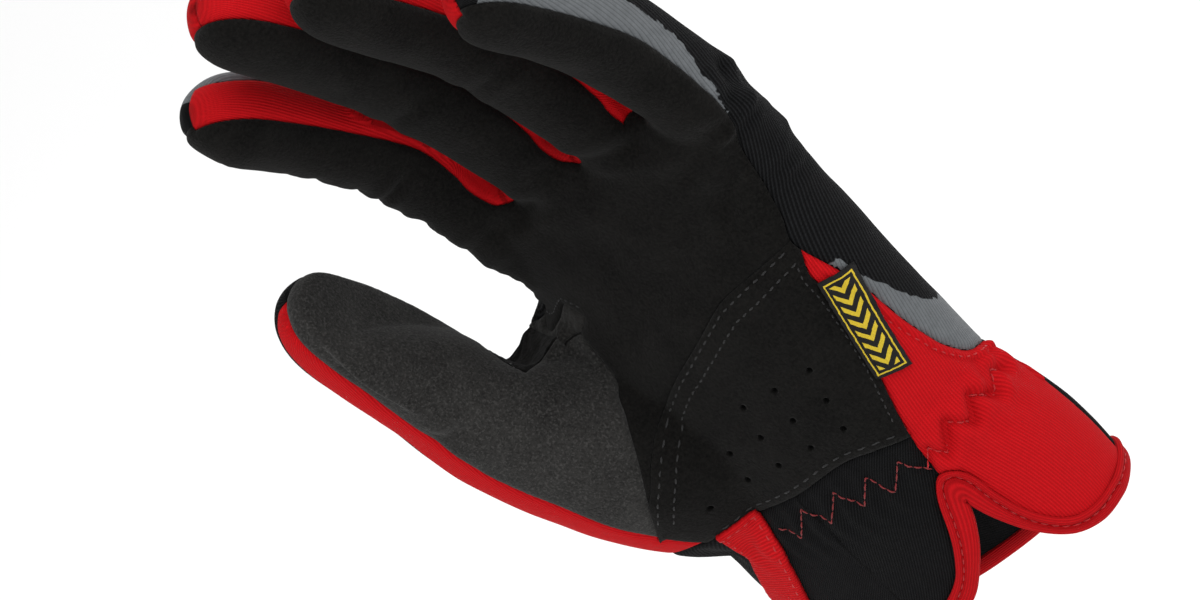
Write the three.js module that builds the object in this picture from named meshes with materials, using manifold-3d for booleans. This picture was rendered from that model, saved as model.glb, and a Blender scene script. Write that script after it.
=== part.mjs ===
// Left-hand mechanic glove: palm towards -Y, fingertips up +Z, little finger at +X.
// The panels are cut from one hollow sewn form drawn with straight fingers, then posed.
import * as THREE from 'three';
import { mergeVertices } from 'three/addons/utils/BufferGeometryUtils.js';
import Module from 'manifold-3d';

const wasm = await Module();
wasm.setup();

// ---------------------------------------------------------------- dimensions, mm
const palmLength = 100;    // wrist seam to the feet of the fingers
const palmWidth = 84;      // across the knuckles
const wristDepth = 54;     // palm side to back, at the cuff
const fingerLength = 80;   // middle finger, from its foot to its tip
const fingerWidth = 20.8;
const fingerDepth = 22;
const thumbWidth = 34;     // ball of the thumb
const thumbDepth = 34;
const webRadius = 9.5;     // fold between thumb and forefinger
const wall = 1.5;          // cloth and suede
const gap = 0.3;           // open seam between two panels
const backDrop = 20;       // how far the back of the cuff hangs below the palm side
const bindingExtra = 0.5;  // how far the tape round the rim stands out of the wall, each side
const strapThick = 1.5;    // webbing of the pull strap
const labelThick = 0.9;
const ventRadius = 0.8;    // perforations in the heel panel

// table rows times one size per column
function inSizes(rows, sizes) {
  return rows.map((row) => row.map((share, i) => share * sizes[i]));
}
const xz = (rows) => inSizes(rows, [palmWidth, palmLength]);
const yz = (rows) => inSizes(rows, [wristDepth, palmLength]);
const xyz = (row) => inSizes([row], [palmWidth, wristDepth, palmLength])[0];

// each finger: centre, foot, length, half width and half depth as shares, bends in degrees
const fingers = [
  { x: -0.327, y: 0.019, base: 1.4, length: 0.881, across: 0.495, deep: 0.491, knuckle: 13, middle: 20, end: 5, splay: -5 },
  { x: -0.071, y: 0.037, base: 1.47, length: 1, across: 0.5, deep: 0.5, knuckle: 12, middle: 14, end: 6, splay: -5 },
  { x: 0.181, y: 0.037, base: 1.46, length: 0.938, across: 0.49, deep: 0.491, knuckle: 12, middle: 14, end: 6, splay: -4 },
  { x: 0.429, y: 0.056, base: 1.42, length: 0.725, across: 0.471, deep: 0.464, knuckle: 14, middle: 16, end: 6, splay: -2 },
].map((f) => ({
  ...f, x: f.x * palmWidth, y: f.y * wristDepth, base: f.base * palmLength, length: f.length * fingerLength, across: f.across * fingerWidth, deep: f.deep * fingerDepth,
}));

// hand and cuff: height, centre x, centre y, half width, depth to the palm, depth to the back
const handTable = inSizes([
  [-0.26, 0, 0.0185, 0.5179, 0.5, 0.5],
  [0, 0, 0.0185, 0.5179, 0.5, 0.5],
  [0.12, -0.006, 0.0185, 0.5179, 0.5, 0.5185],
  [0.24, -0.0119, 0.0093, 0.5119, 0.4815, 0.5],
  [0.36, -0.0119, -0.0185, 0.494, 0.463, 0.4815],
  [0.48, -0.0119, -0.037, 0.4881, 0.4444, 0.4444],
  [0.66, -0.0119, -0.037, 0.5, 0.4074, 0.4074],
  [0.88, -0.006, -0.0185, 0.5, 0.3519, 0.3426],
  [1.06, 0.0119, 0.0185, 0.494, 0.2963, 0.287],
  [1.2, 0.0417, 0.037, 0.5, 0.2593, 0.25],
  [1.32, 0.0536, 0.037, 0.5, 0.2037, 0.25],
  [1.4, 0.0536, 0.037, 0.4524, 0.0741, 0.1111],
], [palmLength, palmWidth, wristDepth, palmWidth, wristDepth, wristDepth]);

// thumb: centre x, y, z, half width across, half depth
const thumbTable = inSizes([
  [-0.2143, -0.1296, 0.46, 0.5882, 0.4412],
  [-0.3214, -0.2315, 0.6, 0.6618, 0.5441],
  [-0.4405, -0.3519, 0.77, 0.6029, 0.5588],
  [-0.5357, -0.463, 0.95, 0.5, 0.5],
  [-0.5893, -0.537, 1.12, 0.4235, 0.4265],
  [-0.6131, -0.5926, 1.28, 0.3765, 0.3824],
  [-0.6286, -0.6537, 1.41, 0.3353, 0.3235],
  [-0.6345, -0.6907, 1.495, 0.2412, 0.2353],
  [-0.6369, -0.7074, 1.53, 0.1029, 0.0882],
], [palmWidth, wristDepth, palmLength, thumbWidth, thumbDepth]);
// the fold between thumb and forefinger: two rounded ridges
const webRidges = [[[-0.56, -0.5, 0.99], [-0.393, -0.056, 1.04]], [[-0.524, -0.426, 0.87], [-0.345, -0.056, 0.92]]];

// ---------------------------------------------------------------- curves and tables
const X = new THREE.Vector3(1, 0, 0);
const Y = new THREE.Vector3(0, 1, 0);
const smooth = (t) => THREE.MathUtils.smoothstep(t, 0, 1);

// Catmull-Rom value of a table at a row number
function tableAt(table, row) {
  const i = Math.min(table.length - 2, Math.floor(row));
  const t = row - i;
  const [p, q, r, s] = [i - 1, i, i + 1, i + 2].map((k) => table[THREE.MathUtils.clamp(k, 0, table.length - 1)]);
  return q.map((_, k) => {
    const a = (r[k] - p[k]) / 2;
    const b = (s[k] - q[k]) / 2;
    return q[k] + t * (a + t * (3 * (r[k] - q[k]) - 2 * a - b + t * (2 * (q[k] - r[k]) + a + b)));
  });
}

function tableRows(table, per) {
  const rows = [];
  for (let i = 0; i <= (table.length - 1) * per; i++) rows.push(tableAt(table, i / per));
  return rows;
}

// ---------------------------------------------------------------- solids
function toManifold(geometry) {
  const bare = new THREE.BufferGeometry().setAttribute('position', geometry.getAttribute('position'));
  if (geometry.index) bare.setIndex(geometry.index);
  const merged = mergeVertices(bare, 1e-5);
  return new wasm.Manifold(new wasm.Mesh({
    numProp: 3,
    vertProperties: new Float32Array(merged.getAttribute('position').array),
    triVerts: new Uint32Array(merged.index.array),
  }));
}

// closed skin over rings of the same number of points
function skin(rings) {
  const n = rings[0].length;
  const points = rings.flat();
  const index = [];
  for (let i = 0; i + 1 < rings.length; i++) {
    for (let j = 0; j < n; j++) {
      const a = i * n + j;
      const b = i * n + ((j + 1) % n);
      if (j < n / 2) index.push(a, b, b + n, a, b + n, a + n);
      else index.push(a, b, a + n, b, b + n, a + n);
    }
  }
  for (const [start, turned] of [[0, true], [(rings.length - 1) * n, false]]) {
    const centre = new THREE.Vector3();
    for (let j = 0; j < n; j++) centre.addScaledVector(points[start + j], 1 / n);
    points.push(centre);
    for (let j = 0; j < n; j++) {
      const a = start + j;
      const b = start + ((j + 1) % n);
      if (turned) index.push(a, points.length - 1, b);
      else index.push(a, b, points.length - 1);
    }
  }
  return toManifold(new THREE.BufferGeometry().setFromPoints(points).setIndex(index));
}

// rounded-box ring; front is the depth towards -Y of the ring's own frame
function ring(centre, across, up, halfWidth, front, back, sides, power) {
  const points = [];
  for (let j = 0; j < sides; j++) {
    const angle = (2 * Math.PI * (j + 0.5)) / sides;
    const c = Math.cos(angle);
    const s = Math.sin(angle);
    const x = halfWidth * Math.sign(c) * Math.abs(c) ** (2 / power);
    const y = (s < 0 ? front : back) * Math.sign(s) * Math.abs(s) ** (2 / power);
    points.push(centre.clone().addScaledVector(across, x).addScaledVector(up, y));
  }
  return points;
}

function handSolid(inset) {
  const rows = tableRows(handTable, 2).filter(([z]) => z < 1.39 * palmLength);
  const rings = rows.map(([z, x, y, a, front, back]) =>
    ring(new THREE.Vector3(x, y, z), X, Y, a - inset, front - inset, back - inset, 28, 2.25));
  const [z, x, y, a, front, back] = handTable[handTable.length - 1];
  rings.push(ring(new THREE.Vector3(x, y, z - inset), X, Y, a - inset, Math.max(1, front - inset), Math.max(1, back - inset), 28, 2.25));
  return skin(rings);
}

function fingerSolid(finger, inset) {
  const foot = 1.14 * palmLength;
  const tip = finger.base + finger.length - inset;
  const dome = 0.625 * fingerWidth;
  const rings = [];
  const add = (z, share) => {
    const along = Math.max(0, (z - finger.base) / finger.length);
    const swell = 1 - 0.07 * along + 0.03 * Math.exp(-(((along - 0.27) / 0.1) ** 2));
    const root = 0.8 + 0.2 * smooth((z - foot) / (0.16 * palmLength));
    const depth = (finger.deep * swell * root - inset) * share;
    rings.push(ring(new THREE.Vector3(finger.x, finger.y, z), X, Y, (finger.across * swell * root - inset) * share, depth, depth, 12, 2.2));
  };
  const steps = Math.round((tip - dome - foot) / (0.085 * palmLength));
  for (let i = 0; i < steps; i++) add(foot + ((tip - dome - foot) * i) / steps, 1);
  for (const angle of [0, 25, 48, 66, 80]) {
    add(tip - dome + dome * Math.sin(THREE.MathUtils.degToRad(angle)), Math.cos(THREE.MathUtils.degToRad(angle)));
  }
  return skin(rings);
}

// frame of the thumb at each row of its table: centre, across (+X side), up (+Y side), along
function thumbFrames(rows) {
  const centres = rows.map(([x, y, z]) => new THREE.Vector3(x, y, z));
  return rows.map((row, i) => {
    const along = centres[Math.min(i + 1, rows.length - 1)].clone().sub(centres[Math.max(i - 1, 0)]).normalize();
    const across = Y.clone().cross(along).normalize();
    return { centre: centres[i], across, up: along.clone().cross(across), along };
  });
}
const thumbRows = tableRows(thumbTable, 2);

function thumbSolid(inset) {
  const frames = thumbFrames(thumbRows);
  return skin(thumbRows.map(([, , , a, b], i) => {
    const { centre, across, up, along } = frames[i];
    const near = i > thumbRows.length - 5 ? inset * 0.8 : 0;
    return ring(centre.clone().addScaledVector(along, -near), across, up, Math.max(0.8, a - inset), Math.max(0.8, b - inset), Math.max(0.8, b - inset), 16, 2.1);
  }));
}

function webSolid(inset) {
  const ball = (at) => wasm.Manifold.sphere(webRadius - inset, 16).translate(xyz(at));
  return wasm.Manifold.union(webRidges.map((ends) => wasm.Manifold.hull(ends.map(ball))));
}

const form = (inset) => wasm.Manifold.union([handSolid(inset), thumbSolid(inset), webSolid(inset), ...fingers.map((f) => fingerSolid(f, inset))]);

// ---------------------------------------------------------------- cutting shapes
// outline pushed out along its normals; sharp corners stop at three widths
function pushed(line, by) {
  return line.map((p, i) => {
    const point = new THREE.Vector2(...p);
    const normals = [];
    for (const [a, b] of [[i - 1, i], [i, i + 1]]) {
      if (a < 0 || b >= line.length) continue;
      const d = new THREE.Vector2(...line[b]).sub(new THREE.Vector2(...line[a])).normalize();
      normals.push(new THREE.Vector2(-d.y, d.x));
    }
    const mean = normals.reduce((s, n) => s.add(n), new THREE.Vector2()).normalize();
    return point.addScaledVector(mean, by / Math.max(0.45, mean.dot(normals[0]))).toArray();
  });
}
const strip = (line, from, to) => [...pushed(line, from), ...pushed(line, to).reverse()];
const seam = (line, width = gap) => strip(line, -width / 2, width / 2);

// outline in X and Z, run along Y
function alongY(outline, y0, y1) {
  const shape = new THREE.Shape(outline.map((p) => new THREE.Vector2(...p)));
  const geometry = new THREE.ExtrudeGeometry(shape, { depth: y1 - y0, bevelEnabled: false });
  geometry.rotateX(Math.PI / 2).translate(0, y1, 0);
  return toManifold(geometry);
}

// outline in Y and Z, run along X
function alongX(outline, x0, x1) {
  const shape = new THREE.Shape(outline.map((p) => new THREE.Vector2(...p)));
  const geometry = new THREE.ExtrudeGeometry(shape, { depth: x1 - x0, bevelEnabled: false });
  geometry.applyMatrix4(new THREE.Matrix4().set(0, 0, 1, x0, 1, 0, 0, 0, 0, 1, 0, 0, 0, 0, 0, 1));
  return toManifold(geometry);
}

// seam that stands on the thumb's centreline at an angle given per row, as wide as the gap
function thumbSeam(angle, reach = 0.794 * thumbWidth) {
  const rows = tableRows(thumbTable.map((row, i) => [...row, angle(i)]), 3);
  const frames = thumbFrames(rows).map((frame, i) => ({ ...frame, turn: THREE.MathUtils.degToRad(rows[i][5]) }));
  const moved = (frame, by) => ({ ...frame, centre: frame.centre.clone().addScaledVector(frame.along, by) });
  return skin([moved(frames[0], -0.47 * thumbWidth), ...frames, moved(frames[frames.length - 1], 0.41 * thumbWidth)].map(({ centre, across, up, turn }) => {
    const out = across.clone().multiplyScalar(Math.cos(turn)).addScaledVector(up, Math.sin(turn));
    const side = across.clone().multiplyScalar(-Math.sin(turn)).addScaledVector(up, Math.cos(turn));
    return [[-0.2, -1], [reach, -1], [reach, 1], [-0.2, 1]].map(([r, w]) =>
      centre.clone().addScaledVector(out, r).addScaledVector(side, (w * gap) / 2));
  }));
}

// ---------------------------------------------------------------- seam lines
// heel panel, outline of its upper edge from the little-finger side to the thumb (X, Z)
const heelTop = xz([[0.5952, 0.99], [0.4286, 0.99], [0.2536, 0.976], [0.1667, 0.96], [0.0524, 0.913], [-0.0786, 0.86], [-0.181, 0.806], [-0.219, 0.77], [-0.2679, 0.715], [-0.3179, 0.672]]);
const heelFoot = xz([[-0.7143, 0.5], [-0.2976, 0.5], [-0.0333, 0.508], [0.1655, 0.53], [0.2726, 0.516], [0.3571, 0.494]]);
// palm to side cuff, from the top of the wedge down to the notch (X, Z)
const palmEdge = xz([[0.4357, 0.995], [0.425, 0.965], [0.4071, 0.914], [0.4119, 0.86], [0.4024, 0.734], [0.3869, 0.647], [0.3524, 0.516], [0.3369, 0.4], [0.3369, 0.28]]);
// thumb panel to palm, from the web down to the wrist (X, Z)
const thumbEdge = xz([[-0.3095, 1.065], [-0.2976, 1.01], [-0.2714, 0.94], [-0.2524, 0.898], [-0.2369, 0.846], [-0.2571, 0.76], [-0.3393, 0.637], [-0.3976, 0.576]]);
// palm side to back along the little-finger side (Y, Z)
const sideEdge = yz([[0.2222, -0.22], [0.2222, 0.44], [0.1481, 0.472], [0.0185, 0.51], [-0.0648, 0.57], [-0.1037, 0.623], [-0.1352, 0.695], [-0.15, 0.778], [-0.1648, 0.84], [-0.1963, 0.97], [-0.1593, 1.04], [-0.1352, 1.11], [-0.1148, 1.21], [-0.0722, 1.305], [-0.0481, 1.38], [-0.0278, 1.49], [-0.0278, 1.5], [-0.0278, 2.15]]);
// palm side to back along the forefinger (Y, Z)
const foreEdge = yz([[-0.0741, 0.99], [-0.0741, 1.08], [-0.0648, 1.18], [-0.0463, 1.4], [-0.0278, 1.49], [-0.0278, 1.5], [-0.0278, 2.25]]);
// the two edges of the side walls between the fingers (Y, Z)
const wallFront = yz([[-0.0852, 1.26], [-0.0907, 1.42], [-0.063, 1.49], [-0.0611, 1.5], [-0.0481, 1.65], [-0.0481, 2.4]]);
const wallBack = yz([[0.1333, 1.26], [0.1333, 1.49], [0.1333, 1.5], [0.1333, 2.4]]);
// rim of the cuff on the palm side with its notch, and on the back (X, Z)
const rimPalm = xz([[-0.7143, -0.14], [-0.519, -0.14], [-0.4286, -0.11], [-0.2857, -0.055], [-0.1429, -0.01], [0, 0.03], [0.0833, 0.06], [0.1631, 0.091], [0.2202, 0.135], [0.2774, 0.195], [0.3131, 0.25], [0.3369, 0.304], [0.356, 0.249], [0.3857, 0.183], [0.4214, 0.126], [0.4595, 0.079], [0.5024, 0.046], [0.5238, 0.034], [0.7143, 0.032]]);
const rimBack = xz([[-0.7143, -0.14], [-0.519, -0.14], [-0.4524, -0.165], [-0.3571, -0.19], [-0.2143, -0.19], [-0.0595, -0.165], [0.0952, -0.115], [0.2381, -0.06], [0.3571, -0.01], [0.4524, 0.025], [0.519, 0.032], [0.7143, 0.032]]);
// upper edge of the tape that binds the rim
const tapePalm = xz([[-0.7143, -0.102], [-0.519, -0.102], [-0.4286, -0.072], [-0.2857, -0.017], [-0.1429, 0.028], [-0.0238, 0.065], [0.0595, 0.093], [0.1095, 0.117], [0.1869, 0.164], [0.2333, 0.222], [0.2679, 0.299], [0.3, 0.354], [0.3286, 0.384], [0.3524, 0.386], [0.3762, 0.355], [0.3833, 0.286], [0.4024, 0.205], [0.4345, 0.143], [0.469, 0.1], [0.5, 0.078], [0.5238, 0.07], [0.7143, 0.069]]);
const tapeBack = xz([[-0.7143, -0.102], [-0.519, -0.102], [-0.4524, -0.127], [-0.3571, -0.152], [-0.2143, -0.152], [-0.0595, -0.127], [0.0952, -0.077], [0.2381, -0.022], [0.3571, 0.028], [0.4524, 0.063], [0.519, 0.069], [0.7143, 0.069]]);
const rimSplit = 0.075 * wristDepth; // y where the palm outline hands over to the back outline
// label and pull strap laid on the panels (X, Z)
const labelOutline = xz([[0.4095, 0.889], [0.4786, 0.867], [0.4452, 0.62], [0.3798, 0.65]]);
const strapOutline = xz([[-0.2738, 0.515], [-0.1488, 0.515], [-0.2012, 0.355], [-0.2738, 0.22], [-0.3214, 0.08], [-0.3393, -0.02], [-0.4702, -0.065], [-0.4524, 0.08], [-0.4048, 0.22], [-0.3274, 0.36]]);
// perforations of the heel panel (X, Z)
const ventPlaces = xz([[0.2726, 0.75], [0.1607, 0.75], [0.0476, 0.745], [0.2595, 0.676], [0.15, 0.674], [0.0357, 0.67], [-0.081, 0.664], [0.2464, 0.603], [0.1381, 0.601], [0.0238, 0.596], [-0.0952, 0.59], [-0.2083, 0.59]]);
// thumb: inner and outer edge of the red strip, and the seam at its top, degrees round the thumb
const stripInner = (i) => [-110, -107, -100, -92, -88, -86, -85, -85, -85][i];
const stripOuter = (i) => stripInner(i) - [15, 14, 15, 17, 20, 23, 26, 34, 50][i];
const thumbTop = () => 75;

// ---------------------------------------------------------------- pose
// centreline of a bent finger in steps of 1 mm from the middle of the hand
const bendStart = 0.9 * palmLength;
function bentAxis({ x, y, base, length, knuckle, middle, end, splay }) {
  const joints = [[base - 0.22 * palmLength, 0.28 * palmLength, knuckle], [base + 0.27 * length, 0.25 * fingerLength, middle], [base + 0.6 * length, 0.2 * fingerLength, end]];
  const stations = [];
  const at = new THREE.Vector3(x, y, bendStart);
  for (let z = bendStart; z <= 1.8 * palmLength + fingerLength; z += 1) {
    const turn = (share) => THREE.MathUtils.degToRad(share);
    const bend = turn(joints.reduce((sum, [zj, width, angle]) => sum + angle * smooth((z - zj + width / 2) / width), 0));
    const aside = turn(splay * smooth((z - base + 0.36 * palmLength) / (0.28 * palmLength)));
    const along = new THREE.Vector3(Math.sin(aside) * Math.cos(bend), -Math.sin(bend), Math.cos(aside) * Math.cos(bend));
    const across = new THREE.Vector3(Math.cos(aside), 0, -Math.sin(aside));
    stations.push({ at: at.clone(), across, up: along.clone().cross(across) });
    at.add(along);
  }
  return stations;
}
const axes = fingers.map(bentAxis);

function bendWith(finger, axis, point) {
  const row = THREE.MathUtils.clamp(point.z - bendStart, 0, axis.length - 2);
  const i = Math.floor(row);
  const mix = (key) => axis[i][key].clone().lerp(axis[i + 1][key], row - i);
  return mix('at').addScaledVector(mix('across'), point.x - finger.x).addScaledVector(mix('up'), point.y - finger.y);
}

// the web sags between the thumb and the forefinger
const webDip = 0.07 * palmLength;
const webReach = 0.16 * palmLength;
const webFold = new THREE.Line3(new THREE.Vector3(...xyz([-0.56, -0.5, 1.085])), new THREE.Vector3(...xyz([-0.393, -0.056, 1.135])));
function sag(point) {
  const away = webFold.closestPointToPoint(point, true, new THREE.Vector3()).distanceTo(point);
  return webDip * smooth(1 - away / webReach);
}

// the hand follows its nearest fingers, with a soft change between them below the crotches
function posed(point) {
  const result = new THREE.Vector3();
  if (point.z <= bendStart) return result.copy(point).setZ(point.z + backDrop);
  const soft = THREE.MathUtils.lerp(0.131 * palmWidth, gap, smooth((point.z - 1.04 * palmLength) / (0.41 * palmLength)));
  const step = (edge) => smooth((point.x - edge + soft) / (2 * soft));
  const edges = fingers.slice(1).map((f, i) => (fingers[i].x + fingers[i].across + f.x - f.across) / 2);
  const thumbShare = 1 - smooth((point.x + 0.583 * palmWidth) / (0.06 * palmWidth));
  fingers.forEach((finger, i) => {
    const share = (i > 0 ? step(edges[i - 1]) : 1) * (i < edges.length ? 1 - step(edges[i]) : 1) * (1 - thumbShare);
    if (share > 0) result.addScaledVector(bendWith(finger, axes[i], point), share);
  });
  result.addScaledVector(point, thumbShare);
  return result.setZ(result.z + backDrop - sag(point));
}
const bent = (solid) => solid.warp((v) => posed(new THREE.Vector3(...v)).toArray(v));

// ---------------------------------------------------------------- hollow shell and its cuts
const shell = form(0).subtract(form(wall));
const far = 3 * palmLength;
const belowRim = xz([[0.714, -0.4], [-0.714, -0.4]]);
const rimAway = wasm.Manifold.union([
  alongY([...rimPalm, ...belowRim], -far, rimSplit),
  alongY([...rimBack, ...belowRim], rimSplit, far),
]);
const rimBand = (below, above) => wasm.Manifold.union([
  alongY([...pushed(rimPalm, -below), ...pushed(tapePalm, above).reverse()], -far, rimSplit),
  alongY([...pushed(rimBack, -below), ...pushed(tapeBack, above).reverse()], rimSplit, far),
]);
const between = [0, 1, 2].map((i) => [fingers[i].x, fingers[i + 1].x]);
const gusset = { long: 0.548 * palmWidth, thick: 0.13 * palmWidth, tall: 0.17 * palmLength, turn: -34, at: xyz([-0.476, -0.25, 1.1]) };
const webBox = (grow) => wasm.Manifold.cube([gusset.long + grow, gusset.thick + grow, gusset.tall + grow], true).rotate([0, 0, gusset.turn]).translate(gusset.at);
const box = (x0, x1, y0, y1, z0, z1) => wasm.Manifold.cube([x1 - x0, y1 - y0, z1 - z0]).translate([x0, y0, z0]);
const aboveWrist = box(-far, far, -far, far, 0.499 * palmLength, far);
const beyondWeb = wasm.Manifold.cube([far, far, far], true).translate([0, (far + gusset.thick) / 2 - gap, 0]).rotate([0, 0, gusset.turn]).translate(gusset.at);
const patchEdge = xz([[-0.7143, 1.125], [-0.4286, 1.125], [-0.2976, 1.105], [-0.2452, 1.048], [-0.2881, 1.02], [-0.7143, 1.02]]);
const backEdge = xz([[-0.3571, 0.43], [-0.3631, 0.6], [-0.381, 0.8], [-0.4167, 1], [-0.4524, 1.07], [-0.7143, 1.1]]);

const palmSide = -0.02 * wristDepth;
const backStart = -0.076 * wristDepth;
const wallBackAt = wallBack[0][0];
const cuts = wasm.Manifold.union([
  alongY(seam(heelTop), -far, palmSide),
  alongY(seam(heelFoot), -far, palmSide),
  alongY(seam(palmEdge), -far, 0),
  alongY(seam(thumbEdge), -far, palmSide),
  alongY(seam(patchEdge), -far, -0.069 * wristDepth).intersect(beyondWeb),
  alongY(seam(backEdge), backStart, far).intersect(box(-far, far, backStart, far, 0.45 * palmLength, far)),
  alongX(seam(sideEdge), fingers[3].x, far),
  alongX(seam(sideEdge.filter(([, z]) => z < 1.4 * palmLength)), 0.214 * palmWidth, fingers[3].x + 1),
  alongX(seam(foreEdge), -far, fingers[0].x),
  ...between.map(([a, b]) => alongX(seam(wallFront), a, b)),
  ...between.map(([a, b]) => alongX(seam(wallBack, 2 * gap), a, b)),
  ...between.flatMap(([a, b]) => [a, b].map((x) => box(x - gap / 2, x + gap / 2, -0.056 * wristDepth, wallBackAt, 1.9 * palmLength, far))),
  alongY(seam(xz([[-0.714, 0.45], [0.714, 0.45]])), -0.037 * wristDepth, far),
  alongX(seam(yz([[-0.037, -0.3], [-0.037, 0.502]])), -far, -0.238 * palmWidth),
  thumbSeam(stripInner).intersect(aboveWrist),
  thumbSeam(stripOuter).intersect(aboveWrist),
  thumbSeam(thumbTop, 0.5 * thumbWidth).intersect(box(-far, far, -far, far, 1.04 * palmLength, far)),
]);

const whole = shell.subtract(rimAway).subtract(rimBand(0.2, gap));
const loose = whole.subtract(webBox(2 * gap)).subtract(cuts).decompose();

// ---------------------------------------------------------------- panels
// the loose piece whose wall a thin rod goes through; the rod starts inside the glove
function panelMet(from, towards) {
  const reach = Math.sign(towards[1] || towards[0]) * 0.4 * far;
  const rod = towards[0]
    ? box(Math.min(from[0], from[0] + reach), Math.max(from[0], from[0] + reach), from[1] - wall / 2, from[1] + wall / 2, from[2] - wall / 2, from[2] + wall / 2)
    : box(from[0] - wall / 2, from[0] + wall / 2, Math.min(from[1], from[1] + reach), Math.max(from[1], from[1] + reach), from[2] - wall / 2, from[2] + wall / 2);
  const shares = loose.map((piece) => piece.intersect(rod).volume());
  return loose[shares.indexOf(Math.max(...shares))];
}
const toPalm = [0, -1];
const toBack = [0, 1];
const toThumb = [-1, 0];
const toLittle = [1, 0];
const [thumbX, thumbY, thumbZ] = thumbTable[5];

// layer of even thickness lying on the outside of the glove
const layer = (outline, thick) => form(-gap - thick).subtract(form(-gap)).intersect(alongY(outline, -far, palmSide));

const vents = wasm.Manifold.union(ventPlaces.map(([x, z]) =>
  wasm.Manifold.cylinder(far, ventRadius, ventRadius, 8).rotate([90, 0, 0]).translate([x, palmSide, z])));
const tape = form(-bindingExtra).subtract(form(wall + bindingExtra)).intersect(rimBand(0, 0));

const suede = { color: 0x1b1a19, roughness: 0.95 };
const knit = { color: 0x17181a, roughness: 0.85 };
const greySuede = { color: 0x45423f, roughness: 0.95 };
const red = { color: 0xc2161c, roughness: 0.8 };
const panels = {
  palm_panel: [panelMet([fingers[1].x, fingers[1].y, 1.6 * palmLength], toPalm), suede],
  heel_panel: [panelMet(xyz([0, 0, 0.64]), toPalm).subtract(vents), suede],
  thumb_panel: [panelMet([thumbX, thumbY, thumbZ], toLittle), greySuede],
  thumb_strip: [panelMet([thumbX - 0.07 * thumbWidth, thumbY, thumbZ], toPalm), red],
  thumb_back: [panelMet([thumbX, thumbY, thumbZ], toThumb), knit],
  web_gusset: [whole.intersect(webBox(0)), suede],
  web_patch: [panelMet(xyz([-0.298, 0, 1.07]), toPalm), greySuede],
  side_wall_fore_middle: [panelMet([fingers[0].x, fingers[0].y, 1.6 * palmLength], toLittle), red],
  side_wall_middle_ring: [panelMet([fingers[1].x, fingers[1].y, 1.6 * palmLength], toLittle), red],
  side_wall_ring_little: [panelMet([fingers[2].x, fingers[2].y, 1.6 * palmLength], toLittle), red],
  back_panel: [panelMet(xyz([0, 0, 1.08]), toBack), knit],
  cuff_side: [panelMet(xyz([0, 0, 0.3]), toLittle), red],
  cuff_palm: [panelMet(xyz([0, 0, 0.3]), toPalm), knit],
  cuff_back: [panelMet(xyz([0, 0, 0.2]), toBack), knit],
  rim_binding: [tape, red],
  pull_strap: [layer(strapOutline, strapThick), red],
  side_label: [layer(labelOutline, labelThick), { color: 0x191817, roughness: 0.7 }],
};

// ---------------------------------------------------------------- the glove
const glove = new THREE.Group();
glove.name = 'mechanic_glove';
for (const [name, [solid, look]] of Object.entries(panels)) {
  // crumbs left where three seams meet are dropped
  const pieces = bent(solid).simplify(0.05).decompose().sort((a, b) => b.volume() - a.volume());
  const { numProp, numVert, vertProperties, triVerts } = pieces[0].getMesh();
  const points = [];
  for (let i = 0; i < numVert; i++) points.push(new THREE.Vector3().fromArray(vertProperties, i * numProp));
  const geometry = new THREE.BufferGeometry().setFromPoints(points).setIndex([...triVerts]);
  geometry.computeVertexNormals();
  const mesh = new THREE.Mesh(geometry, new THREE.MeshStandardMaterial({ ...look, metalness: 0, flatShading: true }));
  mesh.name = name;
  glove.add(mesh);
}

export default glove;
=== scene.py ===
# Left-hand mechanic glove of suede, knit and red tape, palm side towards -Y, fingertips up.
# Lengths in tables and sums are millimetres of the glove laid out straight, before it is bent.
# What Blender itself is given is in metres.
import math

import bpy
import numpy as np
from mathutils import Matrix, Vector
from mathutils.bvhtree import BVHTree
from mathutils.kdtree import KDTree


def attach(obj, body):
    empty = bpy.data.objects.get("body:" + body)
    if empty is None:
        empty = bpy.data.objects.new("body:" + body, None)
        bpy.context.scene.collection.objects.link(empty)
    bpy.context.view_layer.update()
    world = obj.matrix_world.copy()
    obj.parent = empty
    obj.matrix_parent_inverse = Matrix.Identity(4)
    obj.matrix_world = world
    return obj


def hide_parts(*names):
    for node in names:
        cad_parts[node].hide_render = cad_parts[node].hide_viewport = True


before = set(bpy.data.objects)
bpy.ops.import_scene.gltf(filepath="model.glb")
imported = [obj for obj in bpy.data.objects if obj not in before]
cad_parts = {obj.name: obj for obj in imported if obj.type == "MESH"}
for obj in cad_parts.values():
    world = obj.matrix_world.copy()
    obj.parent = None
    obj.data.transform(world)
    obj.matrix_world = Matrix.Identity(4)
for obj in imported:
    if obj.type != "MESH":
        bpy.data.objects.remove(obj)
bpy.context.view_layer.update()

# floor, light and camera
# A pale floor and a white room, two large soft lamps, and a long lens that looks at the
# palm from the little-finger side with the fingers to the left.
floor_size, floor_height = 14, -0.09
bpy.ops.object.select_all(action='DESELECT')
bpy.ops.mesh.primitive_plane_add(size=floor_size, location=(0, 0, floor_height))
floor = bpy.context.object
floor.name = "floor"
floor_paint = bpy.data.materials.new("floor_paint")
floor_paint.use_nodes = True
floor_shader = floor_paint.node_tree.nodes["Principled BSDF"]
floor_shader.inputs["Base Color"].default_value = (0.93, 0.93, 0.93, 1)
floor_shader.inputs["Roughness"].default_value = 0.9
floor.data.materials.append(floor_paint)

room = bpy.data.worlds.new("room")
room.use_nodes = True
room.node_tree.nodes["Background"].inputs["Color"].default_value = (1, 1, 1, 1)
room.node_tree.nodes["Background"].inputs["Strength"].default_value = 1.0
bpy.context.scene.world = room

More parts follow.
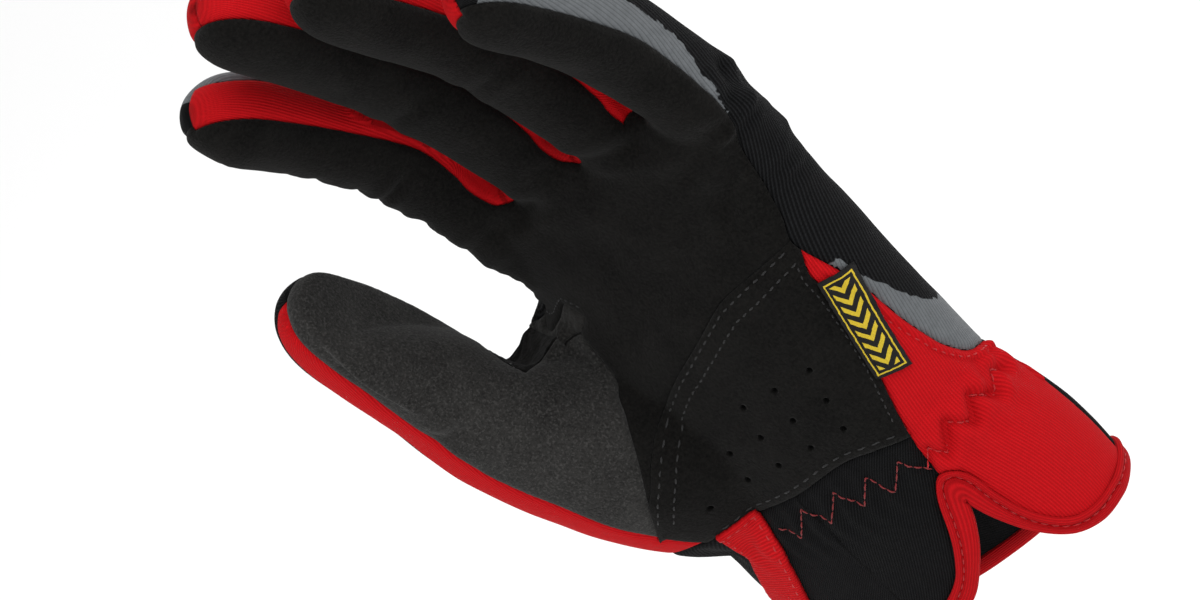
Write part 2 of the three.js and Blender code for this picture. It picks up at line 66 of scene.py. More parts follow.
camera_right = Vector((0.679, 0.321, -0.660)).normalized()
camera_back = Vector((0.660, -0.660, 0.358)).normalized()
camera_up = camera_back.cross(camera_right).normalized()
look_at = Vector((-0.030, 0.0037, 0.118))
camera_distance = 0.9
for name, towards, distance, size, power in (
        ("key_lamp", camera_back * 0.9 + camera_up * 0.9 - camera_right * 0.3, 1.1, 0.9, 6),
        ("fill_lamp", camera_back * 0.8 - camera_up * 0.5 - camera_right * 0.6, 1.2, 1.0, 2)):
    lamp_data = bpy.data.lights.new(name, 'AREA')
    lamp_data.size = size
    lamp_data.energy = power
    lamp = bpy.data.objects.new(name, lamp_data)
    lamp.location = look_at + towards.normalized() * distance
    lamp.rotation_euler = (look_at - lamp.location).to_track_quat('-Z', 'Y').to_euler()
    bpy.context.collection.objects.link(lamp)

camera_data = bpy.data.cameras.new("camera")
camera_data.sensor_width = 36
camera_data.lens = 124.2
camera_data.clip_end = 50
camera = bpy.data.objects.new("camera", camera_data)
camera.matrix_world = Matrix((camera_right, camera_up, camera_back)).transposed().to_4x4()
camera.location = look_at + camera_back * camera_distance
bpy.context.collection.objects.link(camera)
bpy.context.scene.camera = camera
bpy.context.scene.view_settings.view_transform = 'Standard'

# the form of the glove
# The panels are cut on one smooth form, as on a last: a hand, four fingers, a thumb and the
# web are drawn as tubes, melted together with a voxel remesh and smoothed.
# finger: x, y, foot, length, half width, half depth, then its three bends and its splay
fingers = [
    (-27.5, 1, 140, 70.5, 10.3, 10.8, 13, 20, 5, -5), (-6, 2, 147, 80, 10.4, 11, 12, 14, 6, -5),
    (15.2, 2, 146, 75, 10.2, 10.8, 12, 14, 6, -4), (36, 3, 142, 58, 9.8, 10.2, 14, 16, 6, -2)]
# hand: height, centre x, centre y, half width, depth to the palm, depth to the back
hand_table = [
    (-26, 0, 1, 43.5, 27, 27), (0, 0, 1, 43.5, 27, 27), (12, -0.5, 1, 43.5, 27, 28), (24, -1, 0.5, 43, 26, 27),
    (36, -1, -1, 41.5, 25, 26), (48, -1, -2, 41, 24, 24), (66, -1, -2, 42, 22, 22),
    (88, -0.5, -1, 42, 19, 18.5), (106, 1, 1, 41.5, 16, 15.5), (120, 3.5, 2, 42, 14, 13.5),
    (132, 4.5, 2, 42, 11, 13.5), (140, 4.5, 2, 38, 4, 6)]
hand_power, finger_power, thumb_power = 2.25, 2.2, 2.1  # how square each oval is, 2 for an ellipse
# thumb: centre x, y, z, half width, half depth
thumb_table = [
    (-18, -7, 46, 20, 15), (-27, -12.5, 60, 22.5, 18.5), (-37, -19, 77, 20.5, 19), (-45, -25, 95, 17, 17),
    (-49.5, -29, 112, 14.4, 14.5), (-51.5, -32, 128, 12.8, 13), (-52.8, -35.3, 141, 11.4, 11),
    (-53.3, -37.3, 149.5, 8.2, 8), (-53.5, -38.2, 153, 3.5, 3)]
thumb_steps = 12                # stations from one row of the thumb's table to the next
web_lines = [((-47, -27, 99), (-33, -3, 104)), ((-44, -23, 87), (-29, -3, 92))]
web_radius = 9.5
finger_root, tip_round = 114, 13
voxel = 0.0007


def smooth_step(t):
    t = np.clip(t, 0, 1)
    return t * t * (3 - 2 * t)


def between_rows(table, per):
    """The rows of a table and a smooth curve through them, with `per` steps to a row."""
    table = np.array(table, float)
    row = np.arange((len(table) - 1) * per + 1) / per
    i = np.minimum(row.astype(int), len(table) - 2)
    t = (row - i)[:, None]
    p, q, r, s = (table[np.clip(i + k, 0, len(table) - 1)] for k in (-1, 0, 1, 2))
    a, b = (r - p) / 2, (s - q) / 2
    return q + t * (a + t * (3 * (r - q) - 2 * a - b + t * (2 * (q - r) + a + b)))


def unit(rows):
    return rows / np.linalg.norm(rows, axis=-1)[..., None]


def run_along(line):
    """How far along a line of points each of them lies."""
    return np.concatenate([[0], np.cumsum(np.linalg.norm(np.diff(line, axis=0), axis=1))])


def oval(half_width, front, back, sides, power):
    angle = 2 * np.pi * (np.arange(sides) + 0.5) / sides
    c, s = np.cos(angle), np.sin(angle)
    return np.stack([half_width * np.sign(c) * abs(c) ** (2 / power),
                     np.where(s < 0, front, back) * np.sign(s) * abs(s) ** (2 / power)], 1)


def flat_ring(x, y, z, half_width, front, back, sides, power):
    outline = oval(half_width, front, back, sides, power)
    return np.column_stack([x + outline[:, 0], y + outline[:, 1], np.full(sides, z)])


def tube(rings):
    """Vertices and faces of a tube through rings of points, closed at both ends."""
    rings = np.array(rings)
    rows, sides, _ = rings.shape
    last = (rows - 1) * sides
    faces = [(i + j, i + (j + 1) % sides, i + sides + (j + 1) % sides, i + sides + j)
             for i in range(0, last, sides) for j in range(sides)]
    return rings.reshape(-1, 3), faces + [tuple(range(sides))[::-1], tuple(range(last, last + sides))]


def gathered(parts):
    """Many sets of vertices and faces as one."""
    verts, faces, base = [], [], 0
    for some, around in parts:
        verts.append(some)
        faces += [tuple(k + base for k in face) for face in around]
        base += len(some)
    return np.concatenate(verts), faces


def new_piece(name, verts, faces):
    """A new object from millimetres."""
    mesh = bpy.data.meshes.new(name)
    mesh.from_pydata((np.asarray(verts) / 1000).tolist(), [], faces)
    piece = bpy.data.objects.new(name, mesh)
    bpy.context.collection.objects.link(piece)
    return piece


hand_rows = between_rows(hand_table, 8)
tubes = [tube([flat_ring(x, y, z, half_width, front, back, 96, hand_power)
               for z, x, y, half_width, front, back in hand_rows])]
for x, y, base, length, half_width, half_depth, *_ in fingers:
    tip_foot = base + length - tip_round
    levels = [(z, 1.0) for z in np.linspace(finger_root, tip_foot, 48)]
    levels += [(tip_foot + tip_round * math.sin(a), math.cos(a)) for a in np.radians(np.linspace(8, 84, 10))]
    rings = []
    for z, share in levels:
        # slimmer towards the tip, fuller at the middle joint, drawn in where it leaves the hand
        along = max(0, (z - base) / length)
        swell = 1 - 0.07 * along + 0.03 * math.exp(-((along - 0.27) / 0.1) ** 2)
        swell *= share * (0.8 + 0.2 * smooth_step((z - finger_root) / 16))
        rings.append(flat_ring(x, y, z, half_width * swell, half_depth * swell, half_depth * swell,
                               48, finger_power))
    tubes.append(tube(rings))

thumb_rows = between_rows(thumb_table, thumb_steps)
thumb_line = thumb_rows[:, :3]
thumb_along = unit(np.gradient(thumb_line, axis=0))
thumb_across = unit(np.cross([0, 1, 0], thumb_along))
thumb_up = np.cross(thumb_along, thumb_across)
tubes.append(tube([at + oval(row[3], row[4], row[4], 48, thumb_power) @ np.array([across, up])
                   for at, across, up, row in zip(thumb_line, thumb_across, thumb_up, thumb_rows)]))
for line in web_lines:
    start, end = np.array(line, float)
    axis = unit(end - start)
    side = unit(np.cross(axis, [0, 0, 1.0]))
    other = np.cross(axis, side)
    turn = 2 * np.pi * np.arange(32) / 32
    circle = np.outer(np.cos(turn), side) + np.outer(np.sin(turn), other)
    tubes.append(tube([centre + web_radius * (axis * math.sin(a) + math.cos(a) * circle)
                       for centre, angles in ((start, (-80, 0)), (end, (0, 80)))
                       for a in np.radians(np.linspace(*angles, 9))]))

form = new_piece("form", *gathered(tubes))
bpy.context.view_layer.objects.active = form
melt = form.modifiers.new("melt", 'REMESH')
melt.mode = 'VOXEL'
melt.voxel_size = voxel
bpy.ops.object.modifier_apply(modifier="melt")

skin = np.empty(len(form.data.vertices) * 3, np.float32)
form.data.vertices.foreach_get("co", skin)
skin = skin.reshape(-1, 3).astype(float) * 1000
corners = np.empty(len(form.data.loops), np.int32)
form.data.loops.foreach_get("vertex_index", corners)
quads = corners.reshape(-1, 4)
bpy.data.objects.remove(form)

pairs = np.sort(np.concatenate([quads[:, [i, (i + 1) % 4]] for i in range(4)]).astype(np.int64), axis=1)
keys = np.unique(pairs[:, 0] * len(skin) + pairs[:, 1])
pairs = np.stack([keys // len(skin), keys % len(skin)], 1)
valence = np.bincount(pairs.ravel(), minlength=len(skin))


def relaxed(values, times):
    """Each value moved half-way to the mean of its neighbours, some times over."""
    for _ in range(times):
        total = np.stack([np.bincount(pairs[:, 0], values[pairs[:, 1], k], len(values))
                          + np.bincount(pairs[:, 1], values[pairs[:, 0], k], len(values))
                          for k in range(values.shape[1])], 1)
        values = values + 0.5 * (total / valence[:, None] - values)
    return values


skin = relaxed(skin, 10)

# the bent pose
# The worn shape: each finger turns at its knuckle, middle and end joint and leans aside a
# little. The thumb and the cuff keep their places, and the web sags between them.
back_drop = 20                  # how far the whole glove is raised at the end
bend_foot, bend_reach = 90, 170  # where the fingers' lines start, and how far they go on
palm_blend, finger_blend = 11, 0.3
web_fold = np.array([(-47, -27, 108.5), (-33, -3, 113.5)])
web_sag, web_reach = 7, 16


def finger_line(x, y, base, length, _, __, knuckle, middle, end, splay):
    """Place, across and up of a bent finger's middle line, for each millimetre of its height."""
    z = np.arange(bend_foot, bend_foot + bend_reach + 1, 1.0)
    at_knuckle = smooth_step((z - base + 36) / 28)
    at_middle = smooth_step((z - base - 0.27 * length + 10) / 20)
    at_end = smooth_step((z - base - 0.6 * length + 8) / 16)
    bend = np.radians(knuckle * at_knuckle + middle * at_middle + end * at_end)
    aside = np.radians(splay * at_knuckle)
    along = np.stack([np.sin(aside) * np.cos(bend), -np.sin(bend), np.cos(aside) * np.cos(bend)], 1)
    across = np.stack([np.cos(aside), 0 * z, -np.sin(aside)], 1)
    at = np.array([x, y, bend_foot]) + np.concatenate([[[0, 0, 0]], np.cumsum(along, 0)[:-1]])
    return np.stack([at, across, np.cross(along, across)])


finger_lines = [finger_line(*finger) for finger in fingers]
finger_edges = [(a[0] + a[4] + b[0] - b[4]) / 2 for a, b in zip(fingers, fingers[1:])]


def bent(points):
    x, y, z = points.T
    soft = palm_blend + (finger_blend - palm_blend) * smooth_step((z - 104) / 41)
    steps = [smooth_step((x - edge + soft) / (2 * soft)) for edge in finger_edges]
    thumb_share = 1 - smooth_step((x + 49) / 5)
    row = np.clip(z - bend_foot, 0, bend_reach - 1)
    i = row.astype(int)
    t = (row - i)[:, None]
    result = points * thumb_share[:, None]
    for k, (fx, fy, *_) in enumerate(fingers):
        share = (steps[k - 1] if k else 1) * (1 - steps[k] if k < 3 else 1) * (1 - thumb_share)
        at, across, up = finger_lines[k][:, i] * (1 - t) + finger_lines[k][:, i + 1] * t
        result += share[:, None] * (at + across * (x - fx)[:, None] + up * (y - fy)[:, None])
    result = np.where((z <= bend_foot)[:, None], points, result)
    fold = web_fold[1] - web_fold[0]
    along_fold = np.clip((points - web_fold[0]) @ fold / (fold @ fold), 0, 1)
    away = np.linalg.norm(points - web_fold[0] - along_fold[:, None] * fold, axis=1)
    result[:, 2] += back_drop - web_sag * smooth_step(1 - away / web_reach)
    return result


# seam lines
# Where each panel ends on the form, seen from the palm (x, z) or from the side (y, z), with
# the thumb's red strip as degrees round its middle line, from its foot to its tip.
heel_top = between_rows([
    (50, 99), (36, 99), (21.3, 97.6), (14, 96), (4.4, 91.3), (-6.6, 86), (-15.2, 80.6), (-18.4, 77),
    (-22.5, 71.5), (-26.7, 67.2)], 6)[::-1]
heel_foot = between_rows([(-60, 50), (-25, 50), (-2.8, 50.8), (13.9, 53), (22.9, 51.6), (30, 49.4), (50, 44)], 6)
palm_edge = between_rows([
    (36.6, 99.5), (35.7, 96.5), (34.2, 91.4), (34.6, 86), (33.8, 73.4), (32.5, 64.7), (29.6, 51.6), (28.3, 40),
    (28.3, 20)], 6)[::-1]
thumb_edge = between_rows([
    (-26, 106.5), (-25, 101), (-22.8, 94), (-21.2, 89.8), (-19.9, 84.6), (-21.6, 76), (-28.5, 63.7),
    (-33.4, 57.6)], 6)[::-1]
side_edge = between_rows([
    (12, -22), (12, 40), (11.6, 44), (8, 47.2), (1, 51), (-3.5, 57), (-5.6, 62.3), (-7.3, 69.5), (-8.1, 77.8),
    (-8.9, 84), (-10.6, 97), (-8.6, 104), (-7.3, 111), (-6.2, 121), (-3.9, 130.5), (-2.6, 138), (-1.5, 149),
    (-1.5, 170), (-1.5, 215)], 6)
fore_edge = between_rows([(-4, 99), (-4, 108), (-3.5, 118), (-2.5, 140), (-1.5, 149), (-1.5, 170), (-1.5, 225)], 6)
wall_front = between_rows([(-4.6, 126), (-4.9, 142), (-3.4, 149), (-2.6, 165), (-2.6, 240)], 6)
wall_back, wall_foot = 7.2, 126
patch_edge = [(-60, 112.5), (-36, 112.5), (-25, 110.5), (-20.6, 104.8), (-24.2, 102), (-60, 102)]
back_edge = [(-30, 43), (-30.5, 60), (-32, 80), (-35, 100), (-38, 107), (-60, 110), (-90, 110), (-90, 43)]
strip_inner = [-110, -107, -100, -92, -88, -86, -85, -85, -85]
strip_width = [39, 38, 39, 41, 44, 46, 48, 54, 70]
web_middle, web_across = (-40, -13.5), (0.559, 0.829)
web_half_width, web_half_length, web_foot, web_head = 5.5, 23, 101.5, 118.5
cuff_top = 45
tape_palm = between_rows([
    (-60, -10.2), (-43.6, -10.2), (-36, -7.2), (-24, -1.7), (-12, 2.8), (-2, 6.5), (5, 9.3), (9.2, 11.7),
    (15.7, 16.4), (19.6, 22.2), (22.5, 29.9), (25.2, 35.4), (27.6, 38.4), (29.6, 38.6), (31.6, 35.5),
    (32.2, 28.6), (33.8, 20.5), (36.5, 14.3), (39.4, 10), (42, 7.8), (44, 7), (60, 6.9)], 5)
tape_back = between_rows([
    (-60, -10.2), (-43.6, -10.2), (-38, -12.7), (-30, -15.2), (-18, -15.2), (-5, -12.7), (8, -7.7), (20, -2.2),
    (30, 2.8), (38, 6.3), (43.6, 6.9), (60, 6.9)], 5)

panel_names = ["none", "palm_panel", "heel_panel", "thumb_panel", "thumb_strip", "thumb_back", "web_gusset",
               "web_patch", "side_wall_fore_middle", "side_wall_middle_ring", "side_wall_ring_little",
               "back_panel", "cuff_side", "cuff_palm", "cuff_back"]
(NONE, PALM, HEEL, THUMB, STRIP, THUMB_BACK, WEB,
 PATCH, FORE_WALL, MIDDLE_WALL, RING_WALL, BACK, SIDE, CUFF_PALM, CUFF_BACK) = range(15)


def first_at(line, second):
    return np.interp(second, line[:, 1], line[:, 0])


def second_at(line, first):
    return np.interp(first, line[:, 0], line[:, 1])


def inside(outline, x, z):
    hit = np.zeros(len(x), bool)
    for (x0, z0), (x1, z1) in zip(outline, outline[1:] + outline[:1]):
        if z0 != z1:
            hit ^= ((z0 > z) != (z1 > z)) & (x < x0 + (z - z0) * (x1 - x0) / (z1 - z0))
    return hit


def round_thumb(points):
    """Row of the thumb's table nearest to each point, and the angle round its middle line."""
    station = np.zeros(len(points), int)
    for part in range(0, len(points), 20000):
        some = points[part:part + 20000]
        station[part:part + 20000] = ((some[:, None] - thumb_line[None]) ** 2).sum(2).argmin(1)
    out = points - thumb_line[station]
    turn = np.degrees(np.arctan2((out * thumb_up[station]).sum(1), (out * thumb_across[station]).sum(1)))
    along = station + np.clip((out * thumb_along[station]).sum(1) / 1.3, -1, 1)
    return np.clip(along / thumb_steps, 0, len(thumb_table) - 1), turn


def panel_of(points):
    """The panel that each point of the form belongs to."""
    x, y, z = points.T
    fore_x, middle_x, ring_x, little_x = (finger[0] for finger in fingers)
    out = np.full(len(points), BACK)
    # the palm and the walls between the fingers
    between_fingers = first_at(wall_front, z)
    front_y = np.where(x < fore_x, first_at(fore_edge, z), between_fingers)
    front_y = np.where(x > 18, first_at(side_edge, z), front_y)
    front_y = np.where((x > 18) & (x < little_x) & (z > 140), between_fingers, front_y)
    front = y < front_y
    out[front] = PALM
    walls = ~front & (y < wall_back) & (x > fore_x) & (x < little_x) & (z > wall_foot)
    out[walls] = FORE_WALL + (x > middle_x)[walls].astype(int) + (x > ring_x)[walls]
    out[front & (z < second_at(heel_top, x)) & (y < -1)] = HEEL
    # the web and the thumb, with their places across and along the web
    east, north = x - web_middle[0], y - web_middle[1]
    across_web = east * web_across[0] + north * web_across[1]
    along_web = east * web_across[1] - north * web_across[0]
    near = (x < -10) & (z > 44) & (z < 165)
    row, turn = np.zeros(len(x)), np.zeros(len(x))
    row[near], turn[near] = round_thumb(points[near])
    inner = np.interp(row, range(9), strip_inner)
    outer = inner - np.interp(row, range(9), strip_width)
    upper, behind = z > web_foot, inside(back_edge, x, z)
    foot_of_thumb = np.where(z > 57.6, x < first_at(thumb_edge, z), ((turn < inner) | (turn > 100)) & (z > 50))
    thumb = near & np.where(upper, across_web < 0, np.where(y < -3, foot_of_thumb, behind & (z > 45)))
    palmward = (turn >= inner) & (turn < 75) & (upper | (y < -3))
    strip = (turn < inner) & (turn >= outer)
    out[thumb] = np.where(palmward, THUMB, np.where(strip, STRIP, THUMB_BACK))[thumb]
    out[near & upper & (across_web >= 0) & (y > -4) & behind] = THUMB_BACK
    out[near & upper & (across_web > 0) & (y < -3.7) & inside(patch_edge, x, z)] = PATCH
    web = near & (abs(across_web) < web_half_width) & (abs(along_web) < web_half_length) & upper & (z < web_head)
    out[web] = np.where((z < web_foot + 5) & (along_web > 3), THUMB, WEB)[web]
    # the cuff
    side = front & ((y < 0) | (x > 18)) & (x > first_at(palm_edge, z)) & (z < 99.5)
    out[side] = SIDE
    under_heel = (z < second_at(heel_foot, x)) & (y < -2) & ~side
    out[under_heel & ((x > -30) | (z < 50.2) & ~(thumb & (z > 50)))] = CUFF_PALM
    out[(z < cuff_top) & (out != SIDE) & (out != CUFF_PALM)] = CUFF_BACK
    rim = np.where(y < 4, second_at(tape_palm, x), second_at(tape_back, x))
    out[z < rim - 0.8] = NONE
    return out


# points next to a seam are drawn onto it, and a square that a seam crosses from corner to
# corner is parted there, so each panel gets a clean edge
label = panel_of(skin)
a, b = pairs[label[pairs[:, 0]] != label[pairs[:, 1]]].T
low_t, high_t = np.zeros(len(a)), np.ones(len(a))
for _ in range(9):
    middle_t = (low_t + high_t) / 2
    same = panel_of(skin[a] + (skin[b] - skin[a]) * middle_t[:, None]) == label[a]
    low_t, high_t = np.where(same, middle_t, low_t), np.where(same, high_t, middle_t)
cross_at = (low_t + high_t) / 2
mover = np.where(cross_at < 0.5, a, b)
order = np.argsort(-np.minimum(cross_at, 1 - cross_at))
target = skin[a] + (skin[b] - skin[a]) * cross_at[:, None]
on_seam = np.zeros(len(skin), bool)
skin[mover[order]] = target[order]
on_seam[mover] = True

marks = on_seam[quads]
first = marks[:, 0] & marks[:, 2]
second = ~first & marks[:, 1] & marks[:, 3]
tri = np.concatenate([quads[first][:, [0, 1, 2]], quads[first][:, [0, 2, 3]],
                      quads[second][:, [0, 1, 3]], quads[second][:, [1, 2, 3]]])
quad = quads[~first & ~second]
tri_label = panel_of(skin[tri].mean(1))
quad_label = panel_of(skin[quad].mean(1))

# relief of the cloth
# Everything that moves the surface of the form a little: valleys along the seams, creases
# where the hand bends, puckers where elastic gathers the cloth, and a soft unevenness.
worn = bent(skin)


def normals_of(points):
    total = np.zeros_like(points)
    for polys in (tri, quad):
        face = np.cross(points[polys[:, 2]] - points[polys[:, 0]], points[polys[:, -1]] - points[polys[:, 1]])
        for k in range(polys.shape[1]):
            for c in range(3):
                total[:, c] += np.bincount(polys[:, k], face[:, c], len(points))
    return total / np.maximum(np.linalg.norm(total, axis=1), 1e-9)[:, None]


outward = unit(relaxed(normals_of(worn), 2))

seam_labels = {}
for polys, marks_of in ((tri, tri_label), (quad, quad_label)):
    for k in range(polys.shape[1]):
        hit = on_seam[polys[:, k]]
        for point, mark in zip(polys[hit, k].tolist(), marks_of[hit].tolist()):
            seam_labels.setdefault(point, set()).add(mark)
seams = [(point, marks) for point, marks in seam_labels.items() if len(marks) > 1]
seam_tree = KDTree(len(seams))
for i, (point, marks) in enumerate(seams):
    seam_tree.insert(skin[point], i)
seam_tree.balance()
nearest_seam = [seam_tree.find(p) for p in skin]
seam_distance = np.array([found[2] for found in nearest_seam])
beside_back = np.array([not seams[found[1]][1].isdisjoint({BACK, CUFF_BACK}) for found in nearest_seam])


def bell(distance, reach):
    return np.exp(-(distance / reach) ** 2)


def to_line(points, line):
    """Distance from each point to a polyline, and how far along it the nearest place is."""
    line = np.asarray(line, float)
    best = np.full(len(points), 1e9)
    where = np.zeros(len(points))
    run = 0
    for p, q in zip(line, line[1:]):
        d = q - p
        size = np.linalg.norm(d)
        t = np.clip(((points - p) @ d) / size ** 2, 0, 1)
        gap = np.linalg.norm(points - p - t[:, None] * d, axis=1)
        closer = gap < best
        best = np.where(closer, gap, best)
        where = np.where(closer, run + t * size, where)
        run += size
    return best, where / run


# soft unevenness: wavelength and height
unevenness = ((34, 0.30), (19, 0.16), (9, 0.06))
noise_maker = np.random.default_rng(7)
relief = np.zeros(len(skin))
for wavelength, height in unevenness:
    for _ in range(9):
        way = noise_maker.normal(size=3)
        way *= 2 * np.pi / wavelength / np.linalg.norm(way)
        relief += height / 3 * np.sin(skin @ way + noise_maker.uniform(0, 6.28))

# creases: polyline (x, y, z), width, depth
creases = [
    ([(45.3, 7.1, 137.1), (46.3, 2.8, 132.1), (44, -3.4, 130.7)], 2.2, 1.5),
    ([(44, -3.4, 130.7), (38, -7, 131), (30, -8.5, 127), (24, -9, 122)], 2.6, 0.9),
    ([(43, -4.5, 127), (37, -8, 122), (30, -10.5, 113), (25, -12, 106)], 2.4, 0.8),
    ([(45.5, 3, 132), (45, 8, 128), (42, 13, 122)], 2.6, 1.1),
    ([(38, -8, 120), (24, -11.5, 114), (4, -14.5, 104), (-10, -17, 97), (-20, -19, 92)], 3.4, 0.8),
    ([(-38, -6, 131), (-28, -8.5, 133), (-16, -8.5, 134), (-4, -8, 136)], 2.2, 1.2),
    ([(-4, -8, 139), (6, -8.2, 140), (16, -8.2, 138), (28, -7.6, 134)], 2.2, 1.1),
    ([(-38, -3, 159), (-34, -7, 158), (-26, -9.8, 159), (-19, -7, 160)], 1.5, 0.9),
    ([(-38, -2, 166), (-34, -7, 166.5), (-28, -9.6, 166)], 1.6, 0.7),
    ([(-38, -2, 178), (-34, -7, 177), (-27, -9.6, 178)], 2.0, 0.5),
    ([(-38, 0, 143), (-35, -7, 145), (-28, -9.8, 146)], 1.8, 0.7),
    ([(-15, -6, 174), (-6, -9, 175), (3, -6, 174)], 2.2, 0.5),
    ([(6, -6, 171), (15, -8.8, 172), (24, -6, 171)], 2.2, 0.5),
    ([(-33, -34, 100), (-40, -40, 108), (-50, -45, 112)], 3.2, 0.7),
    ([(-30, -31, 104), (-36, -40, 118), (-44, -45, 124)], 3.0, 0.5),
]
for line, width, depth in creases:
    near = np.abs(skin - np.mean(line, 0)).max(1) < 45
    gap, along = to_line(skin[near], line)
    fade = smooth_step(along / 0.2) * smooth_step((1 - along) / 0.2)
    relief[near] += fade * depth * (0.42 * bell(gap - 2.1 * width, width) - bell(gap, width))

# gathers: the forefinger's outer seam is drawn in and rippled, the web is crumpled, and the
# little finger's seam waves
x, y, z = skin.T
wave = 2 * np.pi * z
fore = bell(y + 2, 5.0) * smooth_step((z - 108) / 6) * smooth_step((205 - z) / 8)
fore = fore * (x < -30) * (label != STRIP) * (x > -45)
relief -= fore * 0.9
relief += fore * 0.34 * (np.sin(wave / 3.1 + 1.7 * np.sin(z * 0.31)) + 0.6 * np.sin(wave / 7.3 + 0.8))
crumple = 0.22 * np.sin(x * 1.9 + 1.3 * np.sin(z * 1.1)) * np.sin(z * 1.35 + 0.7 * y)
relief += np.where(np.isin(label, (WEB, PATCH)), crumple, 0)
little = bell(y + 3, 6.0) * (x > 38) * smooth_step((z - 100) / 8) * smooth_step((140 - z) / 8)
relief += little * 0.3 * np.sin(wave / 6.0 + 1.5 * np.sin(z * 0.4))

# fuller and flatter places, the whole cloth with them: centre, reach, height
swells = [
    ((42, 9, 24), 17, 1.9), ((41, 11, 80), 13, 1.0), ((-43, -2, 36), 16, 3.4), ((-38, -8, 54), 10, 1.6),
    ((-44, 0, 52), 12, 1.6), ((-40, -13, 110), 9, -2.2), ((45, 9, 122), 14, -1.8)]
fore_hollow = [(-35, -7, 138), (-35, -7, 204)]
broad = -1.3 * bell(to_line(skin, fore_hollow)[0], 6)
for centre, reach, height in swells:
    broad += height * bell(np.linalg.norm(skin - centre, axis=1), reach)
relief += broad

# the elastic of the wrist pulls the cloth into folds, and its zigzag seam lies in a groove
side_zigzag = [
    (27, -20.2, 41), (30, -18.7, 44.8), (31.9, -17.4, 40.9), (34.9, -14.7, 46.5), (37.8, -10.8, 41.6),
    (39.2, -7.8, 46.1), (40.2, -2.2, 40.3), (40, 1.1, 44.4), (39.9, 5, 41)]
palm_zigzag = [
    (-11.8, -25.4, 44.7), (-8.3, -25.7, 40.5), (-2.5, -25.9, 47.5), (1.8, -25.9, 41.6), (7.5, -25.6, 47.9),
    (11.3, -25.2, 41.7), (16.1, -24.3, 47.5), (19.2, -23.5, 41.2), (24, -21.8, 46.7), (27.8, -20, 40.4)]
on_side, on_black = label == SIDE, label == CUFF_PALM
gap = to_line(skin[on_side], side_zigzag)[0]
relief[on_side] += 0.7 * bell(gap - 2.6, 1.5) - 1.5 * bell(gap, 0.8)
relief[on_black] -= 0.4 * bell(to_line(skin[on_black], palm_zigzag)[0], 0.8)
round_wrist = np.arctan2(y, x) * 40
pull = bell(z - 43.5, 7.5) * np.sin(round_wrist * 2 * np.pi / 7.5 + 1.2 * np.sin(z * 0.35))
relief += pull * (0.85 * on_side + 0.45 * on_black)
# the red side's own edge is turned under along the back and stitched down
hem = on_side & beside_back & (z > 30)
fold = 0.5 * smooth_step((seam_distance - 0.2) / 0.5) * smooth_step((2.2 - seam_distance) / 0.6)
relief += hem * (fold - 0.3 * bell(seam_distance - 2.4, 0.35))

# cloth directions
# Each point's place on the flat cloth in millimetres: u round the hand, finger or thumb from
# the middle of its back, v towards the tips, so that ribs and rows follow the glove.
low_ratio, ratio_step = 0.1, 0.05
oval_turns = np.linspace(0, np.pi / 2, 91)
quarter = np.array([run_along(np.stack([np.sin(oval_turns) ** (2 / hand_power),
                                        ratio * np.cos(oval_turns) ** (2 / hand_power)], 1))
                    for ratio in low_ratio + ratio_step * np.arange(25)])


def quarter_at(ratio, t):
    """Arc from the middle of an oval's back, by its depth to width and the angle."""
    i = np.clip((ratio - low_ratio) / ratio_step, 0, 23.99)
    j = np.clip(t / (np.pi / 2) * 90, 0, 89.99)
    a, b = i.astype(int), j.astype(int)
    i, j = i - a, j - b
    near_arc = quarter[a, b] * (1 - i) + quarter[a + 1, b] * i
    far_arc = quarter[a, b + 1] * (1 - i) + quarter[a + 1, b + 1] * i
    return near_arc * (1 - j) + far_arc * j


def round_oval(dx, dy, half_width, front, back):
    """Arc length on an oval from the middle of its back, with the sign of dx."""
    depth = np.where(dy < 0, front, back)
    t = np.arctan2((abs(dx) / half_width) ** (hand_power / 2), (abs(dy) / depth) ** (hand_power / 2))
    whole = np.full(len(t), np.pi / 2)
    arc = quarter_at(depth / half_width, t)
    both = quarter_at(back / half_width, whole) + quarter_at(front / half_width, whole)
    return np.sign(dx) * np.where(dy < 0, both - arc, arc) * half_width


def hand_at(z):
    """Centre x and y, half width, depth to the palm and depth to the back at a height."""
    return [np.interp(z, hand_rows[:, 0], hand_rows[:, k]) for k in range(1, 6)]


cx, cy, half_width, front, back = hand_at(np.minimum(z, 132))
u_hand = cx + round_oval(x - cx, y - cy, half_width, front, back)
u_finger = np.zeros(len(x))
finger_of = np.searchsorted(finger_edges, x)
for k, (fx, fy, _, _, across, deep, *_) in enumerate(fingers):
    mine = finger_of == k
    across, deep = np.full(mine.sum(), across), np.full(mine.sum(), deep)
    u_finger[mine] = fx + round_oval(x[mine] - fx, y[mine] - fy, across, deep, deep)
turn_in = smooth_step((z - 126) / 24)
cloth = np.stack([u_hand * (1 - turn_in) + u_finger * turn_in, z], 1)
on_thumb = np.isin(label, (THUMB, THUMB_BACK, STRIP))
row, turn = round_thumb(skin[on_thumb])
station = row * thumb_steps
radius = np.interp(station, range(len(thumb_rows)), thumb_rows[:, 3:].mean(1))
cloth[on_thumb] = np.stack([np.radians((turn + 250) % 360) * radius,
                            np.interp(station, range(len(thumb_rows)), run_along(thumb_line))], 1)

